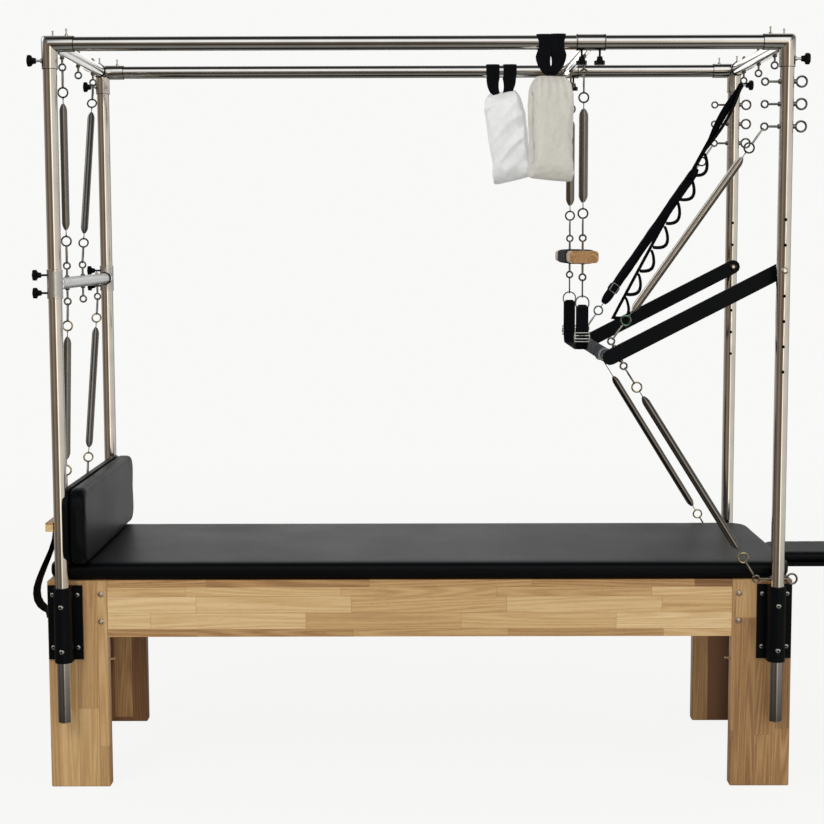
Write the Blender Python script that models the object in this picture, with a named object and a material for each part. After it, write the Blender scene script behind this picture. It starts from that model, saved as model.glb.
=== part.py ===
# A trapeze table for floor exercise: a padded bed on a laminated wooden base, under a canopy of
# stainless tubes that carries springs, a push-through bar, a sliding trapeze and hanging loops.
# Lengths are in metres. X runs along the bed, Y across it (front is -Y) and Z is up.

import math

import bmesh
import bpy
from mathutils import Vector

for old in list(bpy.data.objects):
    bpy.data.objects.remove(old, do_unlink=True)

X = Vector((1.0, 0.0, 0.0)).freeze()
Y = Vector((0.0, 1.0, 0.0)).freeze()
Z = Vector((0.0, 0.0, 1.0)).freeze()
FRONT, REAR = -1, 1
LEFT, RIGHT = -1, 1

# Gap between pieces that touch
FIT = 0.0003

# Wooden base
BED_LENGTH = 2.060
BED_WIDTH = 0.688
BED_HEIGHT = 0.585
LEG_WIDTH = 0.165
LEG_RETURN = 0.110
LEG_BOARD = 0.042
RAIL_DEPTH = 0.139
RAIL_FACE = 0.036
RAIL_LAP = 0.026
RAIL_RECESS = 0.004
DECK_THICKNESS = 0.020
SLAT_COUNT = 4
SLAT_WIDTH = 0.045
SLAT_DEPTH = 0.060
WOOD_EDGE = 0.0025
LEG_BOLT_INSET = 0.017
LEG_BOLT_DROPS = (0.038, 0.115)
STRAP_HOOK_HEIGHT = 0.360
STRAP_HOOK_LENGTH = 0.014
STRAP_HOOK_RADIUS = 0.0025

# Upholstery on the bed and on the end extension
MATTRESS_THICKNESS = 0.046
MATTRESS_CORNER = 0.055
PAD_EDGE = 0.009
EXTENSION_LENGTH = 0.298
EXTENSION_WIDTH = 0.200
EXTENSION_RISE = 0.029
EXTENSION_PAD = 0.028
EXTENSION_BOARD = 0.012
EXTENSION_CORNER = 0.030
EXTENSION_GAP = 0.003
SUPPORT_WIDTH = 0.030
SUPPORT_SPACING = 0.120
SUPPORT_PLATE = 0.004
SUPPORT_HEIGHT = 0.090
SUPPORT_LENGTH = 0.230

# Canopy tubes and their corner fittings
TUBE_RADIUS = 0.019
TUBE_SIDES = 16
POST_INSET = 0.050
POST_STANDOFF = 0.036
POST_FOOT = 0.195
FRAME_TOP = 2.040
SLEEVE_WALL = 0.0025
SLEEVE_REACH = 0.065
TUBE_STOP = 0.0225
CAP_ROUND = 0.003

# Brackets that hold the posts on the legs
BRACKET_TOP_DROP = 0.012
BRACKET_HEIGHT = 0.208
BRACKET_HALF_WIDTH = 0.048
BRACKET_PLATE = 0.005
BRACKET_WALL = 0.0055
BRACKET_SCREW_SIDE = 0.034
BRACKET_SCREW_HIGH = 0.026
BRACKET_SCREW_LOW = 0.034
SLEEVE_SCREW_HIGH = 0.050

# Holes, pins and screws
HOLE_PITCH = 0.068
HOLE_LOWEST_DROP = 0.877
HOLE_COUNT = 7
PIVOT_HOLE = 4
HOLE_RADIUS = 0.0048
PIN_RADIUS = 0.0040
SHANK_RADIUS = 0.0030
SHANK_HOLE = 0.0038
NUT_RADIUS = 0.0060
NUT_THICKNESS = 0.0040
SCREW_HEAD = 0.0062
BOLT_HEAD = 0.0075
HEAD_HEIGHT = 0.0035
SET_SCREW_PLACE = 0.046
SET_SCREW_HEIGHT = 0.019
SET_SCREW_RADIUS = 0.0042
SET_SCREW_NUT = 0.004

# Star knobs
KNOB_RADIUS = 0.0155
KNOB_LOBES = 5
KNOB_WAIST = 0.80
KNOB_THICKNESS = 0.012
KNOB_HUB_RADIUS = 0.0070
KNOB_HUB_LENGTH = 0.010
KNOB_SCREW_SHOWN = 0.0155
CORNER_KNOB_DROP = 0.044

# Sliding clamps with their cross tubes
CLAMP_LENGTH = 0.078
CLAMP_STUB = 0.032
CLAMP_KNOB_OFFSET = 0.024
CROSS_RADIUS = 0.0165
MID_BAR_DROP = 0.636
SLIDE_BAR_X = 0.458

# Eyes, snap hooks, rings and springs
EYE_RADIUS = 0.0090
EYE_WIRE = 0.0020
SNAP_HALF = 0.0250
SNAP_BEND = 0.0065
SNAP_WIRE = 0.0017
RING_RUN = 0.044
RING_NECK = 0.0022
SPRING_RADIUS = 0.0108
TRAPEZE_SPRING_RADIUS = 0.0130
SPRING_TAPER = 0.020
EYE_PITCH = 0.220
EYE_DROP = 0.045
MID_EYE_DROP = 0.052
MID_EYE_RISE = 0.047
SLIDE_EYE_DROP = 0.061
POST_EYE_DROPS = (0.222, 0.163, 0.104)
BASE_EYE_RISE = 0.009
POST_EYE_INWARD = 0.058

# Push-through bar
ARM_Y = 0.345
ARM_THICKNESS = 0.010
ARM_HALF_WIDTH = 0.021
ARM_END_SETBACK = 0.460
ARM_END_DROP = 0.840
PUSH_TUBE_RADIUS = 0.0150
GRIP_RADIUS = 0.0180
GRIP_HALF_LENGTH = 0.230
COLLAR_WIDTH = 0.014
SHOULDER_RADIUS = 0.009
ARM_EYE_ALONG = 0.023
ARM_EYE_CLEARANCE = 0.017

# Trapeze and sling
TRAPEZE_SPACING = 0.400
TRAPEZE_EYE_TOP_DROP = 0.516
TRAPEZE_EYE_LOW_DROP = 0.625
TRAPEZE_BAR_DROP = 0.5685
TRAPEZE_BAR_LENGTH = 0.500
TRAPEZE_BAR_WIDTH = 0.079
TRAPEZE_BAR_THICKNESS = 0.034
TRAPEZE_BAR_CORNER = 0.010
TRAPEZE_GRIP_LENGTH = 0.260
TRAPEZE_GRIP_WALL = 0.004
DRING_RADIUS = 0.0165
DRING_DROP = 0.0115
DRING_WIRE = 0.0018
SLING_WIDTH = 0.035
SLING_THICKNESS = 0.004
SLING_BOTTOM_DROP = 0.830
SLING_BEND = 0.040

# Back pad clamped to the left posts
BACK_BOARD = 0.014
BACK_BOARD_BITE = 0.009
BACK_PAD = 0.044
BACK_PAD_HEIGHT = 0.212
BACK_PAD_CORNER = 0.045
BACK_PAD_OVERHANG = 0.003
BACK_PAD_LIFT = 0.003
CLAMP_RAIL_WIDTH = 0.021
CLAMP_RAIL_HEIGHT = 0.024
CLAMP_RAIL_RISE = 0.157
CLAMP_BOLT_Y = 0.335
BACK_EYE_RISE = 0.230
BACK_EYE_YS = (-0.270, 0.030)
BACK_EYE_GAP = 0.016

# Webbing strap at the left end
STRAP_BULGE = 0.037
STRAP_Y = 0.318
STRAP_WIDTH = 0.045
STRAP_THICKNESS = 0.004
STRAP_FOOT_DROP = 0.105
STRAP_FOOT = 0.022
STRAP_TURN = 0.021

# Hanging loops on the long top tubes
LOOP_WIDTH = 0.127
LOOP_DEPTH = 0.075
LOOP_HEIGHT = 0.270
LOOP_OPENING = 0.026
LOOP_WALL_ENDS = 0.040
HANGER_WIDTH = 0.079
HANGER_WALL = 0.004
HANGER_TAIL = 0.010
HANGER_HINGE_DROP = 0.045
FRONT_LOOP_X = 0.3525
REAR_LOOP_X = 0.2580
FRONT_LOOP_DROP = 0.096
REAR_LOOP_DROP = 0.071

# Safety strap between the right end tube and the rear arm
SAFETY_WIDTH = 0.020
SAFETY_THICKNESS = 0.004
SAFETY_LOOPS = 7
SAFETY_LOOP_DEPTH = 0.030
SAFETY_LOOP_STEPS = 4
SAFETY_PLAIN_SHARE = 0.28
SAFETY_EYE_Y = 0.220
SAFETY_ARM_ALONG = 0.110

# Places that follow from the driving sizes
TOP_X = BED_LENGTH / 2 - POST_INSET
POST_Y = BED_WIDTH / 2 + POST_STANDOFF
SLEEVE_RADIUS = TUBE_RADIUS + SLEEVE_WALL
DECK_LOW = BED_HEIGHT - DECK_THICKNESS
RAIL_TOP = DECK_LOW - FIT
RAIL_BOTTOM = RAIL_TOP - RAIL_DEPTH
LAP_OUTER_Y = BED_WIDTH / 2 - LEG_BOARD - FIT
LAP_INNER_Y = LAP_OUTER_Y - RAIL_LAP
LAP_OUTER_X = BED_LENGTH / 2 - LEG_BOARD - FIT
MATTRESS_TOP = BED_HEIGHT + FIT + MATTRESS_THICKNESS
BRACKET_TOP = BED_HEIGHT - BRACKET_TOP_DROP
EXTENSION_TOP = BED_HEIGHT + EXTENSION_RISE
EXTENSION_REACH = BED_LENGTH / 2 + EXTENSION_GAP + EXTENSION_LENGTH
HOLE_LOWEST = FRAME_TOP - HOLE_LOWEST_DROP
MID_BAR_HEIGHT = FRAME_TOP - MID_BAR_DROP
POST_EYE_HEIGHTS = tuple(FRAME_TOP - drop for drop in POST_EYE_DROPS)
BASE_EYE_HEIGHT = BED_HEIGHT + BASE_EYE_RISE
ARM_END_X = TOP_X - ARM_END_SETBACK
ARM_END_Z = FRAME_TOP - ARM_END_DROP
TRAPEZE_EYE_TOP = FRAME_TOP - TRAPEZE_EYE_TOP_DROP
TRAPEZE_EYE_LOW = FRAME_TOP - TRAPEZE_EYE_LOW_DROP
TRAPEZE_BAR_Z = FRAME_TOP - TRAPEZE_BAR_DROP
SLING_BOTTOM = FRAME_TOP - SLING_BOTTOM_DROP
CLAMP_RAIL_Z = BED_HEIGHT + CLAMP_RAIL_RISE
BACK_EYE_Z = BED_HEIGHT + BACK_EYE_RISE
STRAP_REACH = BED_LENGTH / 2 + STRAP_BULGE
STRAP_FOOT_Z = BED_HEIGHT - STRAP_FOOT_DROP
PIVOT_Z = HOLE_LOWEST + HOLE_PITCH * PIVOT_HOLE
POST_INNER_X = TOP_X - TUBE_RADIUS
BACK_FACE_X = -(POST_INNER_X + BACK_BOARD_BITE)
CENTRING_X = -(EXTENSION_REACH - STRAP_REACH) / 2


def make_material(name, colour, roughness, metallic=0.0):
    """A plain shader with the finish of one material of the table."""
    finish = bpy.data.materials.new(name)
    finish.use_nodes = True
    shader = finish.node_tree.nodes["Principled BSDF"]
    shader.inputs["Base Color"].default_value = (*colour, 1.0)
    shader.inputs["Roughness"].default_value = roughness
    shader.inputs["Metallic"].default_value = metallic
    return finish


WOOD = make_material("laminated_wood", (0.68, 0.49, 0.30), 0.45)
PALE_WOOD = make_material("trapeze_wood", (0.62, 0.47, 0.32), 0.50)
STEEL = make_material("stainless_steel", (0.62, 0.60, 0.57), 0.22, 1.0)
SPRING_STEEL = make_material("spring_steel", (0.30, 0.28, 0.26), 0.28, 1.0)
BLACK_PAINT = make_material("black_paint", (0.012, 0.012, 0.014), 0.42)
BLACK_LEATHER = make_material("black_leatherette", (0.020, 0.021, 0.024), 0.48)
BLACK_WEBBING = make_material("black_webbing", (0.010, 0.010, 0.012), 0.80)
BLACK_PLASTIC = make_material("black_plastic", (0.015, 0.015, 0.016), 0.50)
FOAM = make_material("grey_foam", (0.055, 0.060, 0.065), 0.85)
FLEECE = make_material("white_fleece", (0.86, 0.85, 0.83), 0.95)


# Scene objects

def pivot(name, place, parent=None):
    """An empty on a joint's axis, under which the moving pieces hang."""
    empty = bpy.data.objects.new(name, None)
    bpy.context.collection.objects.link(empty)
    empty.parent = parent
    empty.location = Vector(place) - (true_place(parent) if parent else Vector())
    empty["true_place"] = list(place)
    return empty


def true_place(empty):
    return Vector(empty["true_place"])


def publish(name, bm, finish, parent, smooth=35.0):
    """Turn a mesh drawn in bed coordinates into a named object under its pivot."""
    bmesh.ops.recalc_face_normals(bm, faces=bm.faces)
    bmesh.ops.translate(bm, verts=bm.verts, vec=-true_place(parent))
    mesh = bpy.data.meshes.new(name)
    bm.to_mesh(mesh)
    bm.free()
    mesh.materials.append(finish)
    mesh.shade_smooth()
    mesh.set_sharp_from_angle(angle=math.radians(smooth))
    item = bpy.data.objects.new(name, mesh)
    bpy.context.collection.objects.link(item)
    item.parent = parent
    return item


def combine(item, tool_bm, operation):
    """Add or cut the shapes of tool_bm, drawn in the same coordinates as the item."""
    tool = publish(item.name + "_" + operation.lower(), tool_bm, item.data.materials[0], item.parent)
    tool.hide_render = True
    tool.display_type = "WIRE"
    step = item.modifiers.new(operation.title(), "BOOLEAN")
    step.operation = operation
    step.solver = "EXACT"
    step.use_self = True
    step.object = tool
    return item


def soften(bm, width, segments=1):
    """Round the square outer edges of a body."""
    bmesh.ops.recalc_face_normals(bm, faces=bm.faces)
    square = [edge for edge in bm.edges if edge.is_convex and edge.calc_face_angle() > math.radians(60)]
    bmesh.ops.bevel(bm, geom=square, offset=width, segments=segments, profile=0.5, affect="EDGES")


# Shapes

def skin(bm, rings, closed=False):
    """Join rings of points into one closed body; an open run gets end faces."""
    loops = [[bm.verts.new(point) for point in ring] for ring in rings]
    pairs = list(zip(loops, loops[1:]))
    if closed:
        pairs.append((loops[-1], loops[0]))
    else:
        bm.faces.new(list(reversed(loops[0])))
        bm.faces.new(loops[-1])
    for low, high in pairs:
        for i in range(len(low)):
            j = (i + 1) % len(low)
            bm.faces.new((low[i], low[j], high[j], high[i]))


def across(direction):
    """Two unit vectors square to a direction."""
    reference = X if abs(direction.dot(Z)) > 0.9 else Z
    first = reference.cross(direction).normalized()
    return first, direction.cross(first)


def ring_of(centre, first, second, radius, sides):
    step = 2 * math.pi / sides
    spots = [(radius * math.cos(i * step), radius * math.sin(i * step)) for i in range(sides)]
    return [centre + first * a + second * b for a, b in spots]


def turned(bm, base, direction, profile, sides=TUBE_SIDES):
    """A body of revolution; the profile lists (distance along, radius)."""
    first, second = across(direction)
    rings = [ring_of(base + direction * reach, first, second, size, sides) for reach, size in profile]
    skin(bm, rings)


def rod(bm, start, end, radius, sides=TUBE_SIDES):
    run = end - start
    turned(bm, start, run.normalized(), [(0.0, radius), (run.length, radius)], sides)


def slab(bm, outline, axis, low, high):
    """Extrude a flat outline along X, Y or Z."""
    first, second, normal = {X: (Y, Z, X), Y: (X, Z, Y), Z: (X, Y, Z)}[axis]
    skin(bm, [[a * first + b * second + level * normal for a, b in outline] for level in (low, high)])


def rectangle(low_a, low_b, high_a, high_b):
    return [(low_a, low_b), (high_a, low_b), (high_a, high_b), (low_a, high_b)]


def arc(centre, radius, start, end, steps):
    """Points on an arc, angles in degrees."""
    turns = [math.radians(start + (end - start) * i / steps) for i in range(steps + 1)]
    return [(centre[0] + radius * math.cos(turn), centre[1] + radius * math.sin(turn)) for turn in turns]


def rounded(low_a, low_b, high_a, high_b, radius, steps=4):
    """A rectangle with round corners."""
    return (arc((high_a - radius, low_b + radius), radius, -90, 0, steps)
            + arc((high_a - radius, high_b - radius), radius, 0, 90, steps)
            + arc((low_a + radius, high_b - radius), radius, 90, 180, steps)
            + arc((low_a + radius, low_b + radius), radius, 180, 270, steps))


def wire(bm, path, normal, radius, sides=4):
    """A closed loop of round wire along a flat path."""
    rings = []
    for i, point in enumerate(path):
        travel = (path[(i + 1) % len(path)] - path[i - 1]).normalized()
        out = normal.cross(travel)
        rings.append(ring_of(point, (out + normal).normalized(), (normal - out).normalized(), radius, sides))
    skin(bm, rings, closed=True)


def link(bm, centre, along, normal, half, bend, radius, steps=4, sides=4):
    """A wire link with two round ends; it is a ring where half equals bend."""
    side = normal.cross(along)
    shift = half - bend
    share = 1 if shift > bend * 0.01 else 0
    path = []
    for sign in (1, -1):
        for i in range(steps + share):
            turn = math.pi * i / steps
            reach = along * (shift + bend * math.sin(turn)) + side * bend * math.cos(turn)
            path.append(centre + reach * sign)
    wire(bm, path, normal, radius, sides)


def ribbon(bm, path, normal, thickness, low, high):
    """A band of even thickness along a flat path, low to high along the normal."""
    left, right = [], []
    for i, point in enumerate(path):
        travel = (path[min(i + 1, len(path) - 1)] - path[max(i - 1, 0)]).normalized()
        out = travel.cross(normal) * thickness / 2
        left.append(point + out)
        right.append(point - out)
    foot, head = normal * low, normal * high
    skin(bm, [[a + foot, b + foot, b + head, a + head] for a, b in zip(left, right)])


def touch(first, second):
    """Distance between the middles of two crossing wires at rest on each other."""
    return first + second + FIT


class Piece:
    """One solid: a body, the shapes fused to it and the shapes cut from it."""

    def __init__(self, name, material, parent):
        self.name = name
        self.material = material
        self.parent = parent
        self.body = bmesh.new()
        self.extra = bmesh.new()
        self.cuts = bmesh.new()

    def eye(self, centre, along):
        link(self.extra, centre, along, Y, EYE_RADIUS, EYE_RADIUS, EYE_WIRE)

    def finish(self):
        item = publish(self.name, self.body, self.material, self.parent)
        for shapes, operation in ((self.extra, "UNION"), (self.cuts, "DIFFERENCE")):
            if shapes.faces:
                combine(item, shapes, operation)
        return item


def corners():
    """The four corners of the bed: signs along X and Y, and the name of the place."""
    return [(LEFT, FRONT, "front_left"), (LEFT, REAR, "rear_left"),
            (RIGHT, FRONT, "front_right"), (RIGHT, REAR, "rear_right")]


def pin(bm, middle, direction, radius, half_length, sides=6):
    """A straight round bar about its middle, also used to cut holes."""
    rod(bm, middle - direction * half_length, middle + direction * half_length, radius, sides)


def dome(bm, base, direction, radius):
    """A low screw head, sunk a little into what it holds."""
    profile = [(-HEAD_HEIGHT / 4, radius), (HEAD_HEIGHT, radius * 0.55)]
    turned(bm, base, direction, profile, 6)


# Wooden base

def build_legs(parent):
    """Corner legs, each a front board with a return board glued behind its outer edge."""
    for side, face, place in corners():
        outer_x = side * BED_LENGTH / 2
        outer_y = face * BED_WIDTH / 2
        inner_x = outer_x - side * LEG_WIDTH
        outline = [(outer_x, outer_y),
                   (inner_x, outer_y),
                   (inner_x, outer_y - face * LEG_BOARD),
                   (outer_x - side * LEG_BOARD, outer_y - face * LEG_BOARD),
                   (outer_x - side * LEG_BOARD, outer_y - face * LEG_RETURN),
                   (outer_x, outer_y - face * LEG_RETURN)]
        leg = Piece("leg_" + place, WOOD, parent)
        slab(leg.body, outline, Z, 0.0, BED_HEIGHT)
        soften(leg.body, WOOD_EDGE)
        for drop in LEG_BOLT_DROPS:
            spot = Vector((inner_x + side * LEG_BOLT_INSET, outer_y, BED_HEIGHT - drop))
            dome(leg.extra, spot, Y * face, BOLT_HEAD)
        hook = Vector((inner_x, outer_y - face * LEG_BOARD / 2, STRAP_HOOK_HEIGHT))
        pin(leg.extra, hook, X, STRAP_HOOK_RADIUS, STRAP_HOOK_LENGTH, 6)
        leg.finish()


def build_rail_frame(parent):
    """Side and end rails, whose inner layers lap behind the legs and meet in the corners."""
    frame = Piece("rail_frame", WOOD, parent)
    face_x = BED_LENGTH / 2 - LEG_WIDTH - FIT
    face_y = BED_WIDTH / 2 - LEG_RETURN - FIT
    inner_x = LAP_OUTER_X - RAIL_LAP
    for face in (FRONT, REAR):
        half = [(face_x, face * (BED_WIDTH / 2 - RAIL_RECESS)), (face_x, face * LAP_OUTER_Y),
                (LAP_OUTER_X, face * LAP_OUTER_Y), (LAP_OUTER_X, face * LAP_INNER_Y)]
        outline = half + [(-a, b) for a, b in reversed(half)]
        slab(frame.body if face == FRONT else frame.extra, outline, Z, RAIL_BOTTOM, RAIL_TOP)
    for side in (LEFT, RIGHT):
        half = [(side * (BED_LENGTH / 2 - RAIL_RECESS), face_y), (side * LAP_OUTER_X, face_y),
                (side * LAP_OUTER_X, LAP_OUTER_Y), (side * inner_x, LAP_OUTER_Y)]
        outline = half + [(a, -b) for a, b in reversed(half)]
        slab(frame.extra, outline, Z, RAIL_BOTTOM, RAIL_TOP)
    frame.finish()


def build_deck(parent):
    """A board notched round the legs, with stiffening slats glued under it."""
    deck = Piece("deck_board", WOOD, parent)
    end_x = BED_LENGTH / 2 - RAIL_RECESS
    side_y = BED_WIDTH / 2 - RAIL_RECESS
    notch_x = BED_LENGTH / 2 - LEG_WIDTH - FIT
    notch_y = BED_WIDTH / 2 - LEG_RETURN - FIT
    corner = [(end_x, notch_y), (notch_x, notch_y), (notch_x, side_y)]
    outline = corner + [(-a, b) for a, b in reversed(corner)]
    outline += [(-a, -b) for a, b in corner] + [(a, -b) for a, b in reversed(corner)]
    slab(deck.body, outline, Z, DECK_LOW, BED_HEIGHT)
    reach_y = LAP_INNER_Y - FIT
    pitch = 2 * LAP_OUTER_X / (SLAT_COUNT + 1)
    for i in range(SLAT_COUNT):
        middle = -LAP_OUTER_X + pitch * (i + 1)
        outline = rectangle(middle - SLAT_WIDTH / 2, -reach_y, middle + SLAT_WIDTH / 2, reach_y)
        slab(deck.extra, outline, Z, RAIL_TOP - SLAT_DEPTH, DECK_LOW + DECK_THICKNESS / 2)
    deck.finish()


def build_mattress(parent):
    bm = bmesh.new()
    half_x = BED_LENGTH / 2
    half_y = BED_WIDTH / 2
    outline = rounded(-half_x, -half_y, half_x, half_y, MATTRESS_CORNER, 5)
    slab(bm, outline, Z, BED_HEIGHT + FIT, MATTRESS_TOP)
    soften(bm, PAD_EDGE, 2)
    publish("mattress", bm, BLACK_LEATHER, parent)


def build_extension(parent):
    """A narrow padded shelf past the right end, on a bracket with two arms."""
    near_x = BED_LENGTH / 2 + EXTENSION_GAP
    half_y = EXTENSION_WIDTH / 2
    board_top = EXTENSION_TOP - EXTENSION_PAD
    board_low = board_top - EXTENSION_BOARD
    outline = rounded(near_x, -half_y, EXTENSION_REACH, half_y, EXTENSION_CORNER)
    bm = bmesh.new()
    slab(bm, outline, Z, board_top + FIT, EXTENSION_TOP)
    soften(bm, PAD_EDGE, 2)
    publish("extension_pad", bm, BLACK_LEATHER, parent)
    bm = bmesh.new()
    slab(bm, outline, Z, board_low, board_top)
    publish("extension_board", bm, BLACK_PAINT, parent)

    support = Piece("extension_support", BLACK_PAINT, parent)
    root_x = BED_LENGTH / 2 - RAIL_RECESS + FIT
    face_x = root_x + SUPPORT_PLATE
    top = board_low - FIT
    foot = top - SUPPORT_HEIGHT
    under = top - SUPPORT_PLATE
    fillet = SUPPORT_PLATE * 4
    arm = [(root_x, top), (root_x, foot), (face_x, foot), (face_x, under - fillet),
           (face_x + fillet, under), (root_x + SUPPORT_LENGTH, under), (root_x + SUPPORT_LENGTH, top)]
    outer = (SUPPORT_SPACING + SUPPORT_WIDTH) / 2
    slab(support.body, rectangle(root_x, -outer, face_x, outer), Z, foot, foot + SUPPORT_WIDTH)
    for low in (-outer, outer - SUPPORT_WIDTH):
        slab(support.extra, arm, Y, low, low + SUPPORT_WIDTH)
    support.finish()


# Canopy

def build_posts(parent):
    """Upright tubes with rounded foot caps; the right pair has holes, eyebolts and a pivot bolt."""
    length = FRAME_TOP - TUBE_STOP - POST_FOOT
    profile = [(0.0, TUBE_RADIUS - CAP_ROUND), (CAP_ROUND, TUBE_RADIUS), (length, TUBE_RADIUS)]
    nut = TUBE_RADIUS + NUT_THICKNESS
    shank = [(EYE_RADIUS - POST_EYE_INWARD, SHANK_RADIUS), (-nut, SHANK_RADIUS), (-nut, NUT_RADIUS),
             (nut, NUT_RADIUS), (nut, SHANK_RADIUS), (nut + NUT_THICKNESS, SHANK_RADIUS)]
    for side, face, place in corners():
        post = Piece("post_" + place, STEEL, parent)
        axis = Vector((side * TOP_X, face * POST_Y, 0.0))
        turned(post.body, axis + Z * POST_FOOT, Z, profile)
        if side == RIGHT:
            for i in range(HOLE_COUNT):
                if i != PIVOT_HOLE:
                    spot = axis + Z * (HOLE_LOWEST + HOLE_PITCH * i)
                    pin(post.cuts, spot, Y, HOLE_RADIUS, TUBE_RADIUS * 1.2)
            for height in POST_EYE_HEIGHTS + (BASE_EYE_HEIGHT,):
                bolt = axis + Z * height
                turned(post.extra, bolt, X, shank, 6)
                post.eye(bolt - X * POST_EYE_INWARD, X)
            add_pivot_bolt(post.extra, face)
        post.finish()


def add_pivot_bolt(bm, face):
    """A shoulder bolt through a right post, on which an arm of the push-through bar swings."""
    inner = ARM_Y - ARM_THICKNESS / 2 - FIT
    outer = ARM_Y + ARM_THICKNESS / 2 + FIT
    post_in = POST_Y - TUBE_RADIUS * 0.9
    post_out = POST_Y + TUBE_RADIUS * 0.9
    profile = [(inner - HEAD_HEIGHT, BOLT_HEAD * 0.6), (inner, BOLT_HEAD), (inner, PIN_RADIUS),
               (outer, PIN_RADIUS), (outer, SHOULDER_RADIUS), (post_in, SHOULDER_RADIUS),
               (post_in, PIN_RADIUS), (post_out, PIN_RADIUS), (post_out, BOLT_HEAD),
               (POST_Y + TUBE_RADIUS + HEAD_HEIGHT, BOLT_HEAD * 0.6)]
    turned(bm, Vector((TOP_X, 0.0, PIVOT_Z)), Y * face, profile, 10)


def add_hanging_eye(piece, axis, drop, rise, wall):
    """An upright eyebolt through a tube or bar: an eye below, and a nut or a second eye above."""
    nut = wall + NUT_THICKNESS
    top = rise - EYE_RADIUS if rise else nut + NUT_THICKNESS
    profile = [(EYE_RADIUS - drop, SHANK_RADIUS), (-nut, SHANK_RADIUS), (-nut, NUT_RADIUS),
               (nut, NUT_RADIUS), (nut, SHANK_RADIUS), (top, SHANK_RADIUS)]
    turned(piece.extra, axis, Z, profile, 6)
    piece.eye(axis - Z * drop, Z)
    if rise:
        piece.eye(axis + Z * rise, Z)


def build_top_tubes(parent):
    """Long tubes over the sides, and short ones with three eyebolts over the ends."""
    for face, name in ((FRONT, "side_tube_front"), (REAR, "side_tube_rear")):
        bm = bmesh.new()
        middle = Vector((0.0, face * POST_Y, FRAME_TOP))
        reach = X * (TOP_X - TUBE_STOP)
        rod(bm, middle - reach, middle + reach, TUBE_RADIUS)
        publish(name, bm, STEEL, parent)
    for side, name in ((LEFT, "end_tube_left"), (RIGHT, "end_tube_right")):
        tube = Piece(name, STEEL, parent)
        middle = Vector((side * TOP_X, 0.0, FRAME_TOP))
        reach = Y * (POST_Y - TUBE_STOP)
        rod(tube.body, middle - reach, middle + reach, TUBE_RADIUS)
        for place in (-EYE_PITCH, 0.0, EYE_PITCH):
            add_hanging_eye(tube, middle + Y * place, EYE_DROP, 0.0, TUBE_RADIUS)
        tube.finish()


def add_knob(bm, seat, outward):
    """A five-lobed hand knob on its screw, standing out from the tube through the sleeve."""
    first, second = across(outward)
    neck = SLEEVE_RADIUS + KNOB_SCREW_SHOWN
    hub = neck + KNOB_HUB_LENGTH
    levels = [(TUBE_RADIUS + FIT, SHANK_RADIUS, False), (neck, SHANK_RADIUS, False),
              (neck, KNOB_HUB_RADIUS, False), (hub, KNOB_HUB_RADIUS * 1.25, False),
              (hub + KNOB_THICKNESS * 0.1, KNOB_RADIUS, True),
              (hub + KNOB_THICKNESS, KNOB_RADIUS * 0.95, True)]
    rings = []
    for reach, radius, lobed in levels:
        middle = seat + outward * reach
        ring = ring_of(middle, first, second, radius, KNOB_LOBES * 2)
        if lobed:
            ring = [middle.lerp(point, KNOB_WAIST if i % 2 else 1.0) for i, point in enumerate(ring)]
        rings.append(ring)
    skin(bm, rings)


def add_set_screw(bm, base):
    """An upright set screw with its lock nut."""
    neck = SET_SCREW_RADIUS * 0.6
    profile = [(-SLEEVE_WALL / 2, SET_SCREW_RADIUS), (SET_SCREW_NUT, SET_SCREW_RADIUS),
               (SET_SCREW_NUT, neck), (SET_SCREW_HEIGHT, neck)]
    turned(bm, base, Z, profile, 6)


def build_corner_fittings(parent):
    """Three-way fittings: a mitred elbow with a third sleeve, bored for the tubes, with screws."""
    step = 2 * math.pi / TUBE_SIDES
    for side, face, place in corners():
        fitting = Piece("corner_fitting_" + place, STEEL, parent)
        middle = Vector((side * TOP_X, face * POST_Y, FRAME_TOP))
        upright, mitre, level = [], [], []
        for i in range(TUBE_SIDES):
            out = SLEEVE_RADIUS * math.cos(i * step)
            wide = Y * SLEEVE_RADIUS * math.sin(i * step)
            upright.append(middle + X * side * out + wide - Z * SLEEVE_REACH)
            mitre.append(middle + X * side * out + wide + Z * out)
            level.append(middle - X * side * SLEEVE_REACH + wide + Z * out)
        skin(fitting.body, [upright, mitre, level])
        rod(fitting.extra, middle, middle - Y * face * SLEEVE_REACH, SLEEVE_RADIUS - FIT)
        for out in (-Z, -X * side, -Y * face):
            start = middle + out * (TUBE_STOP - FIT)
            rod(fitting.cuts, start, middle + out * SLEEVE_REACH * 1.2, TUBE_RADIUS + FIT)
        add_knob(fitting.extra, middle - Z * CORNER_KNOB_DROP, X * side)
        for inward in (-X * side, -Y * face):
            add_set_screw(fitting.extra, middle + Z * SLEEVE_RADIUS + inward * SET_SCREW_PLACE)
        fitting.finish()


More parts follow.
